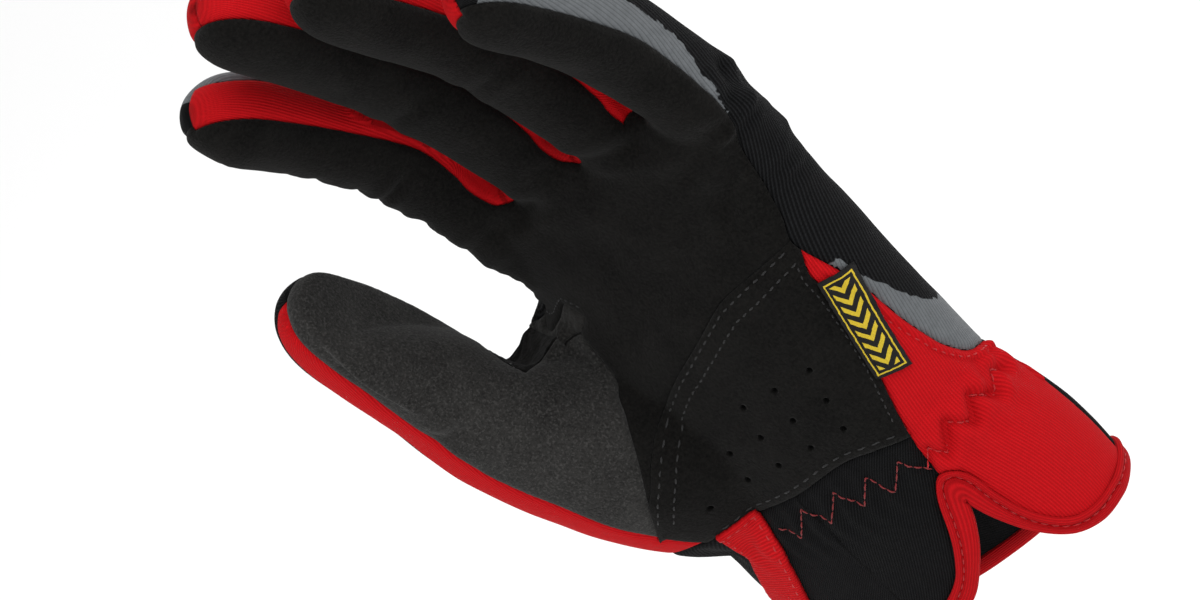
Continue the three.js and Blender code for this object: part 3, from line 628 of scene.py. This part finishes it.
# the grey print of the back, as how far inside its outline a point lies: a stripe along the
# little finger's side, a band over the wrist, and the ends of the fore and middle fingers
print_reach = 9
stripe_top = np.interp(z, [131, 136, 141, 146, 150, 157, 162, 185, 197], [-3.1, -1.6, 0.5, 3.1, 4.3, 4.6, 5.6, 6, 1])
stripe = np.where((x > 38) & (z > 130.5) & (z < 197), stripe_top - y, -print_reach)
band_top = np.interp(y, [-8, -7.3, -5, -3.2, -0.7, 2, 14, 24], [90, 83, 78, 73.7, 69, 65.6, 58, 56])
band_top -= np.clip(34 - x, 0, 80) * 0.12
band = np.where((x > -34) & (z > 44) & (label == BACK), np.minimum(band_top - z, (x + 30) / 3), -print_reach)
ends = np.where((x < 5) & (y > 4), z - 203 - 0.1 * (y - 10) ** 2 + 9 * (x < -17), -print_reach)
printed = np.clip(np.maximum(stripe, np.maximum(band, ends)), -print_reach, print_reach)

# suede panels
# Palm, heel pad, thumb front, web gusset and patch are cut from thin synthetic suede: a dull
# short nap, cloudy in tone, with pale flecks in the grey one. They stand proud of the knit.
cloth_thick = 1.5
proud_of = {PALM: 0.25, HEEL: 0.55, THUMB: 0.3, STRIP: -0.1, WEB: 0.1, PATCH: 0.15,
            FORE_WALL: -0.2, MIDDLE_WALL: -0.2, RING_WALL: -0.2}


def put(tree, kind, settings=None, **inputs):
    """A new node. An input named i0, i1 and so on is meant by its number."""
    node = tree.nodes.new("ShaderNode" + kind)
    for key, value in (settings or {}).items():
        setattr(node, key, value)
    for key, value in inputs.items():
        socket = node.inputs[int(key[1:]) if key[1:].isdigit() else key]
        if isinstance(value, bpy.types.NodeSocket):
            tree.links.new(value, socket)
        else:
            socket.default_value = value
    return node


def tree_of(*values):
    return next(value.id_data for value in values if isinstance(value, bpy.types.NodeSocket))


def join(value, socket):
    tree_of(value).links.new(value, socket)


def count(operation, *values):
    return put(tree_of(*values), "Math", {"operation": operation},
               **{f"i{k}": value for k, value in enumerate(values)}).outputs[0]


def colour_of(value):
    return value if isinstance(value, bpy.types.NodeSocket) else (*value, 1)


def blend(share, first, second):
    return put(tree_of(share), "Mix", {"data_type": 'RGBA'},
               i0=share, i6=colour_of(first), i7=colour_of(second)).outputs[2]


def noise(place, scale, detail=3.0, rough=0.6):
    return put(tree_of(place), "TexNoise", Vector=place, Scale=scale, Detail=detail, Roughness=rough).outputs[0]


def ramp(value, low, high):
    return put(tree_of(value), "MapRange", {"clamp": True}, i0=value, i1=low, i2=high, i3=0.0, i4=1.0).outputs[0]


def new_group(name, inputs, outputs):
    """A shader node group with named sockets: its tree, what it is given, what it gives."""
    tree = bpy.data.node_groups.new(name, 'ShaderNodeTree')
    for way, sockets in (('INPUT', inputs), ('OUTPUT', outputs)):
        for socket, kind in sockets.items():
            tree.interface.new_socket(socket, in_out=way, socket_type="NodeSocket" + kind)
    return tree, tree.nodes.new("NodeGroupInput").outputs, tree.nodes.new("NodeGroupOutput").inputs


def paint(name, roughness, sheen, specular):
    material = bpy.data.materials.new(name)
    material.use_nodes = True
    shader = material.node_tree.nodes["Principled BSDF"]
    shader.inputs["Roughness"].default_value = roughness
    shader.inputs["Sheen Weight"].default_value = sheen
    shader.inputs["Sheen Roughness"].default_value = 0.5
    shader.inputs["Specular IOR Level"].default_value = specular
    return material


def finish(material, colour, height, distance, strength=1.0):
    shader = material.node_tree.nodes["Principled BSDF"]
    bump = put(material.node_tree, "Bump", Strength=strength, Distance=distance, Height=height)
    join(colour, shader.inputs["Base Color"])
    join(bump.outputs[0], shader.inputs["Normal"])
    return material


def placed(material, group, values):
    """A node group in a material, with the place on the piece and its own values."""
    tree = material.node_tree
    values = {socket: colour_of(value) if isinstance(value, tuple) else value for socket, value in values.items()}
    node = put(tree, "Group", {"node_tree": group}, Place=put(tree, "TexCoord").outputs["Object"], **values)
    if "Cloth" in node.inputs:
        join(put(tree, "UVMap", {"uv_map": "cloth"}).outputs[0], node.inputs["Cloth"])
    return node.outputs


def give(name, verts, faces, material, slot, nodes, uv=None, extra=None):
    """A finished piece: mesh in metres, smooth, with its material, on the root body, its CAD nodes hidden. The slot
    is not used.
    """
    piece = new_piece(name, verts, faces)
    mesh = piece.data
    mesh.polygons.foreach_set("use_smooth", np.ones(len(mesh.polygons), bool))
    if uv is not None:
        corner = np.empty(len(mesh.loops), np.int32)
        mesh.loops.foreach_get("vertex_index", corner)
        mesh.uv_layers.new(name="cloth").data.foreach_set("uv", (np.asarray(uv)[corner] / 1000).ravel())
    if extra is not None:
        mesh.attributes.new("print", 'FLOAT', 'POINT').data.foreach_set("value", extra)
    mesh.materials.append(material)
    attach(piece, "root")
    if nodes:
        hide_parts(*nodes)
    return piece


def cut_panel(mark, material, slot):
    """A panel of the form as a closed sheet of cloth, with its edges rounded at the seams."""
    cut = [tri[tri_label == mark], quad[quad_label == mark]]
    used = np.unique(np.concatenate([polys.ravel() for polys in cut]))
    n = len(used)
    local = np.full(len(skin), -1)
    local[used] = np.arange(n)
    lift = relief[used] + proud_of.get(mark, 0.0) - 0.65 * bell(seam_distance[used], 0.8)
    inner = broad[used] - cloth_thick
    verts = np.concatenate([worn[used] + outward[used] * lift[:, None], worn[used] + outward[used] * inner[:, None]])
    faces, edges = [], []
    for polys in cut:
        polys = local[polys]
        faces += polys.tolist() + (polys[:, ::-1] + n).tolist()
        edges += [polys[:, [k, (k + 1) % polys.shape[1]]] for k in range(polys.shape[1])]
    edges = np.concatenate(edges)
    rim = edges[~np.isin(edges[:, 0] * n + edges[:, 1], edges[:, 1] * n + edges[:, 0])]
    faces += np.stack([rim[:, 1], rim[:, 0], rim[:, 0] + n, rim[:, 1] + n], 1).tolist()
    name = panel_names[mark]
    return give("cloth_" + name, verts, faces, material, slot, [name],
                np.tile(cloth[used], (2, 1)), np.tile(printed[used], 2))


suede_nap, given, gives = new_group(
    "suede_nap", {"Place": "Vector", "Deep colour": "Color", "Nap colour": "Color", "Fleck colour": "Color",
                  "Fleck share": "Float"}, {"Colour": "Color", "Height": "Float"})
nap = noise(given["Place"], 1500, 4, 0.7)
blotch = noise(given["Place"], 90, 3, 0.6)
nap_share = count('MULTIPLY', ramp(nap, 0.36, 0.66), 0.65)
tone = count('MULTIPLY_ADD', ramp(blotch, 0.3, 0.7), 0.35, nap_share)
fleck = ramp(noise(given["Place"], 1900, 1, 0.5), 0.57, 0.66)
fleck = count('MULTIPLY', fleck, given["Fleck share"])
colour = blend(tone, given["Deep colour"], given["Nap colour"])
join(blend(fleck, colour, given["Fleck colour"]), gives["Colour"])
join(count('MULTIPLY_ADD', blotch, 0.6, nap), gives["Height"])


def suede(name, deep, nap, flecks, sheen):
    material = paint(name, 1.0, sheen, 0.04)
    pale = tuple(min(1, 3.2 * value + 0.02) for value in nap)
    out = placed(material, suede_nap, {"Deep colour": deep, "Nap colour": nap, "Fleck colour": pale,
                                       "Fleck share": flecks})
    return finish(material, out["Colour"], out["Height"], 0.00045, 0.8)


black_suede = suede("black_suede", (0.0018, 0.0017, 0.0016), (0.0095, 0.0090, 0.0083), 0.0, 0.04)
web_suede = suede("web_suede", (0.0025, 0.0025, 0.0025), (0.0105, 0.0100, 0.0095), 0.10, 0.04)
patch_suede = suede("patch_suede", (0.0060, 0.0057, 0.0055), (0.026, 0.025, 0.0235), 0.10, 0.06)
grey_suede = suede("grey_suede", (0.0080, 0.0078, 0.0075), (0.034, 0.033, 0.0315), 0.16, 0.08)
cut_panel(PALM, black_suede, "black_suede")
heel_cloth = cut_panel(HEEL, black_suede, "black_suede")
cut_panel(THUMB, grey_suede, "grey_suede")
cut_panel(WEB, web_suede, "black_suede")
cut_panel(PATCH, patch_suede, "grey_suede")

# twelve small round holes are punched through the heel pad, in rows along its foot
hole_places = [
    (22.9, 75), (13.5, 75), (4, 74.5), (21.8, 67.6), (12.6, 67.4), (3, 67), (-6.8, 66.4), (20.7, 60.3),
    (11.6, 60.1), (2, 59.6), (-8, 59), (-17.5, 59)]
hole_radius, punch_length, punch_y = 0.0008, 0.06, -0.03
punches = []
for px, pz in hole_places:
    bpy.ops.mesh.primitive_cylinder_add(vertices=16, radius=hole_radius, depth=punch_length,
                                        location=(px / 1000, punch_y, (pz + back_drop) / 1000),
                                        rotation=(math.pi / 2, 0, 0))
    punches.append(bpy.context.object)
bpy.ops.object.select_all(action='DESELECT')
for punch in punches:
    punch.select_set(True)
bpy.context.view_layer.objects.active = punches[0]
bpy.ops.object.join()
punch = bpy.context.object
holes = heel_cloth.modifiers.new("holes", 'BOOLEAN')
holes.operation = 'DIFFERENCE'
holes.solver = 'EXACT'
holes.object = punch
bpy.ops.object.select_all(action='DESELECT')
bpy.context.view_layer.objects.active = heel_cloth
bpy.ops.object.modifier_apply(modifier="holes")
bpy.data.objects.remove(punch)

# knitted panels
# The back and the cuff are ribbed stretch knit, and the red walls, strip and cuff side a finer
# one. Ribs run up the cloth and rows cross them, with painted shade in the grooves and a painted highlight on the
# crests. A grey rubbery print lies on the back's ribs.
knit_rib, given, gives = new_group(
    "knit_rib", {"Place": "Vector", "Cloth": "Vector", "Deep colour": "Color", "Rib colour": "Color",
                 "Rib pitch": "Float", "Slant": "Float"}, {"Colour": "Color", "Height": "Float", "Rib": "Float"})
on_cloth = put(knit_rib, "SeparateXYZ", i0=given["Cloth"]).outputs
u, v = (count('MULTIPLY', on_cloth[k], 1000.0) for k in (0, 1))
line = count('MULTIPLY', count('MULTIPLY_ADD', v, given["Slant"], u), 2 * math.pi)
ribs = count('SINE', count('DIVIDE', line, given["Rib pitch"]))
rows = count('DIVIDE', count('MULTIPLY', v, 2 * math.pi / 0.8), given["Rib pitch"])
rows = count('SINE', count('MULTIPLY_ADD', ribs, 1.6, rows))
rib, bite = (count('MULTIPLY_ADD', value, 0.5, 0.5) for value in (ribs, rows))
height = count('MULTIPLY_ADD', bite, 0.35, rib)
height = count('MULTIPLY_ADD', noise(given["Place"], 2600, 2), 0.5, height)
yarn_tone = count('MULTIPLY_ADD', noise(given["Place"], 800), 0.9, 0.3)
# the colour runs from the deep colour in the grooves to the rib highlight colour on the crests: painted shade in the
# grooves and a painted highlight on the ribs, with a random yarn tone mixed in
tone = count('MULTIPLY', rib, yarn_tone)
join(blend(tone, given["Deep colour"], given["Rib colour"]), gives["Colour"])
join(height, gives["Height"])
join(rib, gives["Rib"])


def ribbed(name, deep, rib, pitch, slant, distance, print_colours=None):
    material = paint(name, 0.85, 0.0, 0.08)
    tree = material.node_tree
    # deep is the painted shade for the grooves, rib the painted highlight for the crests of the ribs
    out = placed(material, knit_rib, {"Deep colour": deep, "Rib colour": rib, "Rib pitch": pitch, "Slant": slant})
    colour, height = out["Colour"], out["Height"]
    if print_colours:
        place = put(tree, "TexCoord").outputs["Object"]
        mask = put(tree, "Attribute", {"attribute_name": "print"}).outputs["Fac"]
        jag = count('MULTIPLY_ADD', noise(place, 380, 2), 3.4, -1.7)
        edge = ramp(count('ADD', mask, jag), -0.1, 0.2)
        # the print is drawn thinner at the bottom of the grooves between ribs, so the darker knit shows there:
        # painted shade in the grooves
        ink_shaded_in_grooves = count('MULTIPLY_ADD', ramp(out["Rib"], 0.02, 0.2), 0.35, 0.65)
        ink = count('MULTIPLY', edge, ink_shaded_in_grooves)
        colour = blend(ink, colour, blend(noise(place, 700), *print_colours))
        height = count('MULTIPLY', height, count('MULTIPLY_ADD', edge, -0.7, 1.0))
        join(count('MULTIPLY_ADD', ink, -0.32, 0.8), tree.nodes["Principled BSDF"].inputs["Roughness"])
    return finish(material, colour, height, distance)


back_knit = ribbed("back_knit", (0.0012, 0.0012, 0.0014), (0.0120, 0.0126, 0.0135), 1.0, 0.33, 0.0003,
                   ((0.085, 0.091, 0.096), (0.14, 0.149, 0.157)))
cuff_knit = ribbed("cuff_knit", (0.0015, 0.0015, 0.0017), (0.0095, 0.0095, 0.0102), 0.7, 0.9, 0.0002)
red_knit = ribbed("red_knit", (0.34, 0.0025, 0.0045), (0.50, 0.0050, 0.0085), 0.7, 0.12, 0.00010)
for mark in (STRIP, FORE_WALL, MIDDLE_WALL, RING_WALL, SIDE):
    cut_panel(mark, red_knit, "red_knit")
for mark in (THUMB_BACK, BACK):
    cut_panel(mark, back_knit, "black_knit")
for mark in (CUFF_PALM, CUFF_BACK):
    cut_panel(mark, cuff_knit, "black_knit")

# seams sewn by thread
# Two rows across the heel pad's top, one along its foot and its side, rows at the web, the red
# zigzag on the black cuff and the zigzag of the red side, whose thread lies in its groove.
# Each row is drawn on the straight form and carried to the worn surface.
# stitch: length, pitch, thread radius, and how high it stands where that isn't the cloth's own
heel_stitch, side_stitch, web_stitch = (1.75, 2.8, 0.2), (1.4, 2.45, 0.17), (1.2, 2.1, 0.16)
zigzag_stitch, groove_stitch, hem_stitch = (2.1, 2.4, 0.2, 0.12), (1.8, 2.1, 0.2, 0.1), (1.4, 2.45, 0.16)
point_step, close_step = 0.35, 0.3
surface_proud = np.zeros(len(skin))
for mark, proud in proud_of.items():
    surface_proud[label == mark] = proud
surface = worn + outward * (relief + surface_proud)[:, None]
polygons = tri.tolist() + quad.tolist()
form_tree = BVHTree.FromPolygons([tuple(p) for p in skin], polygons)


def carried(found):
    """Places and normals on the worn surface for hits on the straight form."""
    places, normals = [], []
    for point, _, polygon, _ in found:
        around = polygons[polygon]
        weight = np.array([1 / (gap @ gap + 1e-4) for gap in skin[around] - np.array(point)])
        weight /= weight.sum()
        places.append(weight @ surface[around])
        normals.append(unit(weight @ outward[around]))
    return np.array(places), np.array(normals)


def nearest(points):
    return carried([form_tree.find_nearest(Vector(p)) for p in points])


def dropped(points):
    """From the palm side onto the form, for each (x, z)."""
    return carried([form_tree.ray_cast(Vector((px, -120, pz)), Vector((0, 1, 0))) for px, pz in points])


def even(line, step):
    """The line with a point at about every step."""
    line = np.asarray(line, float)
    run = run_along(line)
    at = np.linspace(0, run[-1], max(2, int(round(run[-1] / step)) + 1))
    return np.stack([np.interp(at, run, line[:, k]) for k in range(line.shape[1])], 1)


def sweep(points, normals, radii, sides=6):
    """A closed tube along the points, as vertices and faces."""
    along = np.gradient(points, axis=0)
    along /= np.maximum(np.linalg.norm(along, axis=1), 1e-9)[:, None]
    side = unit(np.cross(along, normals))
    up = np.cross(side, along)
    turn = 2 * np.pi * np.arange(sides)[None, :, None] / sides
    ring = np.cos(turn) * side[:, None] + np.sin(turn) * up[:, None]
    return tube(points[:, None] + ring * radii[:, None, None])


def stitches(places, long, pitch, radius, lift=0.0):
    """Short threads that dip into the cloth at both ends, along places an even step apart."""
    points, normals = places
    step = np.linalg.norm(points[1] - points[0])
    per, span = max(2, int(round(pitch / step))), max(2, int(round(long / step)))
    arch = np.sin(np.linspace(0.0, np.pi, span + 1))
    parts = []
    for start in range(0, len(points) - span, per):
        some, up = points[start:start + span + 1], normals[start:start + span + 1]
        over = some + up * (lift - radius + 1.3 * radius * arch)[:, None]
        parts.append(sweep(over, up, radius * (0.55 + 0.45 * arch)))
    return parts


thread_twist, given, gives = new_group(
    "thread_twist", {"Place": "Vector", "Deep colour": "Color", "Light colour": "Color"},
    {"Colour": "Color", "Height": "Float"})
twist = noise(given["Place"], 2500, 2)
join(blend(twist, given["Deep colour"], given["Light colour"]), gives["Colour"])
join(twist, gives["Height"])


def thread(name, deep, light):
    material = paint(name, 0.6, 0.1, 0.35)
    out = placed(material, thread_twist, {"Deep colour": deep, "Light colour": light})
    return finish(material, out["Colour"], out["Height"], 0.0001)


dark_thread = thread("dark_thread", (0.003, 0.003, 0.0032), (0.006, 0.006, 0.0064))
deep_red_thread = thread("deep_red_thread", (0.10, 0.003, 0.004), (0.22, 0.008, 0.01))
red_thread = thread("red_thread", (0.30, 0.004, 0.006), (0.52, 0.012, 0.016))

heel_rows = [[(32.9, 98), (21.3, 96.2), (14.2, 94.6), (4.8, 90), (-6, 84.7), (-14.5, 79.4), (-16.6, 76.4),
              (-20.8, 71), (-27.9, 63.2)],
             [(33.7, 94.9), (27.4, 93.8), (21.2, 92.5), (16.2, 91.6), (9.5, 88.6), (0.5, 84.3), (-6.4, 81.1),
              (-11.8, 77.6), (-14.5, 74.2), (-18.3, 69.1), (-25.8, 60.8)],
             [(px, second_at(heel_foot, px) + 2.0) for px in np.linspace(27.5, -24, 40)]]
side_row = [(first_at(palm_edge, pz) - 1.4, pz) for pz in np.linspace(94, 54, 30)]
web_rows = [[(-35.6, -22.5, 113.2), (-32.3, -28.5, 107.6), (-30.2, -28.5, 102.7)],
            [(-37, -6, 114.2), (-30, -9, 113.2), (-24, -12, 112), (-19, -14, 107)]]
black_rows = []
for row in heel_rows:
    black_rows += stitches(dropped(even(row, point_step)), *heel_stitch)
black_rows += stitches(dropped(even(side_row, point_step)), *side_stitch)
for row in web_rows:
    black_rows += stitches(nearest(even(row, close_step)), *web_stitch)
give("heel_and_web_thread", *gathered(black_rows), dark_thread, "black_knit", [])

zigzag_rows = stitches(dropped(even(np.array(palm_zigzag)[:, [0, 2]], close_step)), *zigzag_stitch)
give("cuff_zigzag_thread", *gathered(zigzag_rows), deep_red_thread, "red_knit", [])

hem_z = np.linspace(84, 46, 30)
hem_y = first_at(side_edge, hem_z) - 2.2
cx, cy, half_width, front, back = hand_at(hem_z)
hem_depth = abs(hem_y - cy) / np.where(hem_y < cy, front, back)
hem_x = cx + half_width * (1 - hem_depth ** hand_power) ** (1 / hand_power)
side_rows = stitches(nearest(even(side_zigzag, close_step)), *groove_stitch)
side_rows += stitches(nearest(even(np.stack([hem_x, hem_y, hem_z], 1), point_step)), *hem_stitch)
give("side_thread", *gathered(side_rows), red_thread, "red_knit", [])

# rim binding
# A tape folded round the edge of the opening: a narrow roll and a stitched groove above, a
# flat band round the rim, and its other half inside. Pairs are rim x, z and upper edge x, z.
palm_pairs = [
    (-43.6, -14, -43.6, -10.2), (-36, -11, -37, -7.4), (-24, -5.5, -25.4, -2), (-12, -1, -13.4, 2.7),
    (0, 3, -1.6, 6.6), (7, 6, 5, 9.4), (13.7, 9.1, 11.2, 12.6), (18.5, 13.5, 15.7, 16.4),
    (23.3, 19.5, 19.6, 22.2), (26.3, 25, 22.3, 28), (28, 29.3, 24.4, 33.6), (28.3, 30.4, 27.2, 38),
    (28.7, 30.4, 30.2, 38.2), (28.8, 29.4, 32.3, 33.8), (29.9, 24.9, 33, 27.8), (32.4, 18.3, 34.6, 20.4),
    (35.4, 12.6, 37.1, 14.3), (38.6, 7.9, 39.7, 10.1), (42.2, 4.6, 42.6, 7.8), (44, 3.4, 44, 7)]
back_pairs = [
    (43.6, 3.2, 43.6, 6.9), (38, 2.5, 38, 6.3), (30, -1, 30, 2.8), (20, -6, 20, -2.2), (8, -11.5, 8, -7.7),
    (-5, -16.5, -5, -12.7), (-18, -19, -18, -15.2), (-30, -19, -30, -15.2), (-38, -16.5, -38, -12.7),
    (-43.6, -14, -43.6, -10.2)]
# profile: share of the band from the rim, extra millimetres, height over the cloth
profile = [
    (1, -0.5, -2.0), (0, 0.6, -2.1), (0, -0.2, -1.95), (0, -0.65, -1.3), (0, -0.8, -0.6), (0, -0.6, 0.15),
    (0, -0.1, 0.6), (0, 0.5, 0.78), (0.5, -0.6, 0.8), (1, -2.0, 0.72), (1, -1.75, 0.3), (1, -1.5, 0.32),
    (1, -1.3, 0.8), (1, -0.95, 1.12), (1, -0.5, 1.2), (1, -0.12, 1.0), (1, 0.12, 0.6), (1, 0.2, 0.0)]
groove_depth = 1.6              # from the upper edge down to the stitched groove
binding_stitch = (1.4, 2.1, 0.16, 0.42)
red_tape = ribbed("red_tape", (0.30, 0.0022, 0.0042), (0.48, 0.0048, 0.0080), 0.62, 0.0, 0.00012)


def turn_of(px, pz, sign):
    cx, _, half_width, _, _ = hand_at(pz)
    c = np.clip((px - cx) / half_width, -1, 1)
    return sign * np.arccos(np.sign(c) * abs(c) ** (hand_power / 2))


def on_oval(turn, pz):
    cx, cy, half_width, front, back = hand_at(pz)
    c, s = np.cos(turn), np.sin(turn)
    return np.stack([cx + half_width * np.sign(c) * abs(c) ** (2 / hand_power),
                     cy + np.where(s < 0, front, back) * np.sign(s) * abs(s) ** (2 / hand_power), pz], 1)


loop = []
for table, sign in ((palm_pairs, -1), (back_pairs, 1)):
    rim_x, rim_z, edge_x, edge_z = between_rows(table, 10)[:-1].T
    loop.append([turn_of(rim_x, rim_z, sign), rim_z, turn_of(edge_x, edge_z, sign), edge_z])
rim_turn, rim_z, edge_turn, edge_z = np.concatenate(loop, 1)
band = np.linalg.norm(on_oval(edge_turn, edge_z) - on_oval(rim_turn, rim_z), axis=1)


def on_band(share):
    """Places on the worn cloth at a share of the way from the rim to the tape's upper edge."""
    return on_oval(rim_turn + share * (edge_turn - rim_turn), rim_z + share * (edge_z - rim_z))


rings = []
for share, extra, height in profile:
    at, normal = nearest(on_band(share + extra / band))
    rings.append(at + normal * height)
rings = np.array(rings).transpose(1, 0, 2)
for _ in range(10):
    rings = (np.roll(rings, 1, 0) + 2 * rings + np.roll(rings, -1, 0)) / 4
stations, spots, _ = rings.shape
tape_faces = [(i * spots + j, (i + 1) % stations * spots + j, (i + 1) % stations * spots + (j + 1) % spots,
               i * spots + (j + 1) % spots) for i in range(stations) for j in range(spots)]
tape_uv = np.stack([np.tile(run_along(rings[60]), stations), np.repeat(run_along(rings[:, 9]), spots)], 1)
give("tape_rim_binding", rings.reshape(-1, 3), tape_faces, red_tape, "red_webbing", ["rim_binding"], tape_uv)
binding_rows = stitches(nearest(even(on_band(1 - groove_depth / band), point_step)), *binding_stitch)
give("binding_thread", *gathered(binding_rows), red_thread, "red_webbing", [])

# pull strap
# A flat webbing laid from the wrist seam to the rim on the thumb's side, sewn down along both
# edges and across its top with thread of its own red.
strap_right = between_rows([(-12.5, 51.5), (-16.9, 35.5), (-23, 22), (-27, 8), (-28.5, -2)], 12)
strap_left = between_rows([(-23.6, 51.5), (-29, 36), (-36, 22), (-40.2, 8), (-41.6, -6.5)], 12)
strap_wide, strap_long, strap_columns, strap_rows = 12, 60, 22, 110
strap_stitch, strap_top_stitch = (1.5, 2.6, 0.18), (1.5, 2.4, 0.18)
red_webbing = ribbed("red_webbing", (0.34, 0.0025, 0.0045), (0.54, 0.0065, 0.0100), 0.8, 0.0, 0.00016)


def slab(columns, rows, place, low, high, rounded):
    """A sheet with thickness on the cloth: top points and normals, vertices, faces, shares."""
    share_u, share_v = np.meshgrid(np.linspace(0, 1, columns), np.linspace(0, 1, rows))
    at, normal = dropped([place(a, b) for a, b in zip(share_u.ravel(), share_v.ravel())])
    normal = normal.reshape(rows, columns, 3)
    for _ in range(6):
        normal[1:-1] = (normal[:-2] + normal[1:-1] + normal[2:]) / 3
    normal = unit(normal).reshape(-1, 3)
    edge = np.minimum(np.minimum(share_u, 1 - share_u) * columns, np.minimum(share_v, 1 - share_v) * rows).ravel()
    top = at + normal * (high - rounded * bell(edge, 0.9))[:, None]
    verts = np.concatenate([top, at + normal * low])
    n = rows * columns
    faces = []
    for i in range(0, n - columns, columns):
        for a in range(i, i + columns - 1):
            square = (a, a + columns, a + columns + 1, a + 1)
            faces += [square, tuple(k + n for k in square[::-1])]
    ring = [*range(columns), *range(2 * columns - 1, n, columns), *range(n - 2, n - columns - 1, -1),
            *range(n - 2 * columns, 0, -columns)]
    faces += [(a, b, b + n, a + n) for a, b in zip(ring, ring[1:] + ring[:1])]
    shares = np.tile(np.stack([share_u.ravel(), share_v.ravel()], 1), (2, 1))
    return top.reshape(rows, columns, 3), normal.reshape(rows, columns, 3), verts, faces, shares


def strap_place(across, along):
    k = along * (len(strap_right) - 1)
    right, left = ([np.interp(k, range(len(line)), line[:, c]) for c in (0, 1)] for line in (strap_right, strap_left))
    return [l + (r - l) * across for l, r in zip(left, right)]


top, normal, verts, faces, shares = slab(strap_columns, strap_rows, strap_place, 0.1, 1.5, 0.5)
give("webbing_pull_strap", verts, faces, red_webbing, "red_webbing", ["pull_strap"],
     shares[:, ::-1] * (strap_long, strap_wide))
strap_stitches = []
for column in (2, strap_columns - 3):
    strap_stitches += stitches((top[3:, column], normal[3:, column]), *strap_stitch)
across_top = even(top[3], close_step)
middle_normals = np.repeat(normal[3, 10:11], len(across_top), 0)
strap_stitches += stitches((across_top, middle_normals), *strap_top_stitch)
give("strap_thread", *gathered(strap_stitches), red_thread, "red_webbing", [])

# side label
# A plain woven tag over the seam beside the little finger: black ground, a yellow border line
# and a column of plain yellow chevrons.
label_wide, label_long = 8.8, 24.8
label_top, label_foot = ((34.4, 88.9), (40.2, 86.7)), ((31.9, 65), (37.4, 62))
label_weave = paint("label_weave", 0.6, 0.0, 0.15)


def label_place(across, along):
    top_row, low_row = (np.array(left) * (1 - across) + np.array(right) * across
                        for left, right in (label_top, label_foot))
    return top_row * (1 - along) + low_row * along


tree = label_weave.node_tree
on_cloth = put(tree, "SeparateXYZ", i0=put(tree, "UVMap", {"uv_map": "cloth"}).outputs[0]).outputs
wide, tall = (count('MULTIPLY', on_cloth[k], 1000.0) for k in (0, 1))
off_middle = count('ABSOLUTE', count('SUBTRACT', wide, label_wide / 2))
off_centre = count('ABSOLUTE', count('SUBTRACT', tall, label_long / 2))
inset = count('MINIMUM', count('SUBTRACT', label_wide / 2, off_middle),
              count('SUBTRACT', label_long / 2, off_centre))
border = count('COMPARE', inset, 1.05, 0.17)
chevron = count('SINE', count('MULTIPLY', count('ADD', tall, off_middle), 2.1))
figure = count('MULTIPLY', count('GREATER_THAN', chevron, 0.15), count('GREATER_THAN', inset, 1.9))
yarn = count('MULTIPLY', *(count('SINE', count('MULTIPLY', way, 16.0)) for way in (wide, tall)))
ground = blend(count('MULTIPLY_ADD', yarn, 0.5, 0.5), (0.004, 0.004, 0.0045), (0.014, 0.0135, 0.013))
yellow = blend(count('MAXIMUM', border, figure), ground, (0.62, 0.45, 0.03))
finish(label_weave, yellow, yarn, 0.00008)
_, _, verts, faces, shares = slab(12, 40, label_place, 0.25, 1.15, 0.35)
give("woven_side_label", verts, faces, label_weave, "label_weave", ["side_label"], shares * (label_wide, label_long))
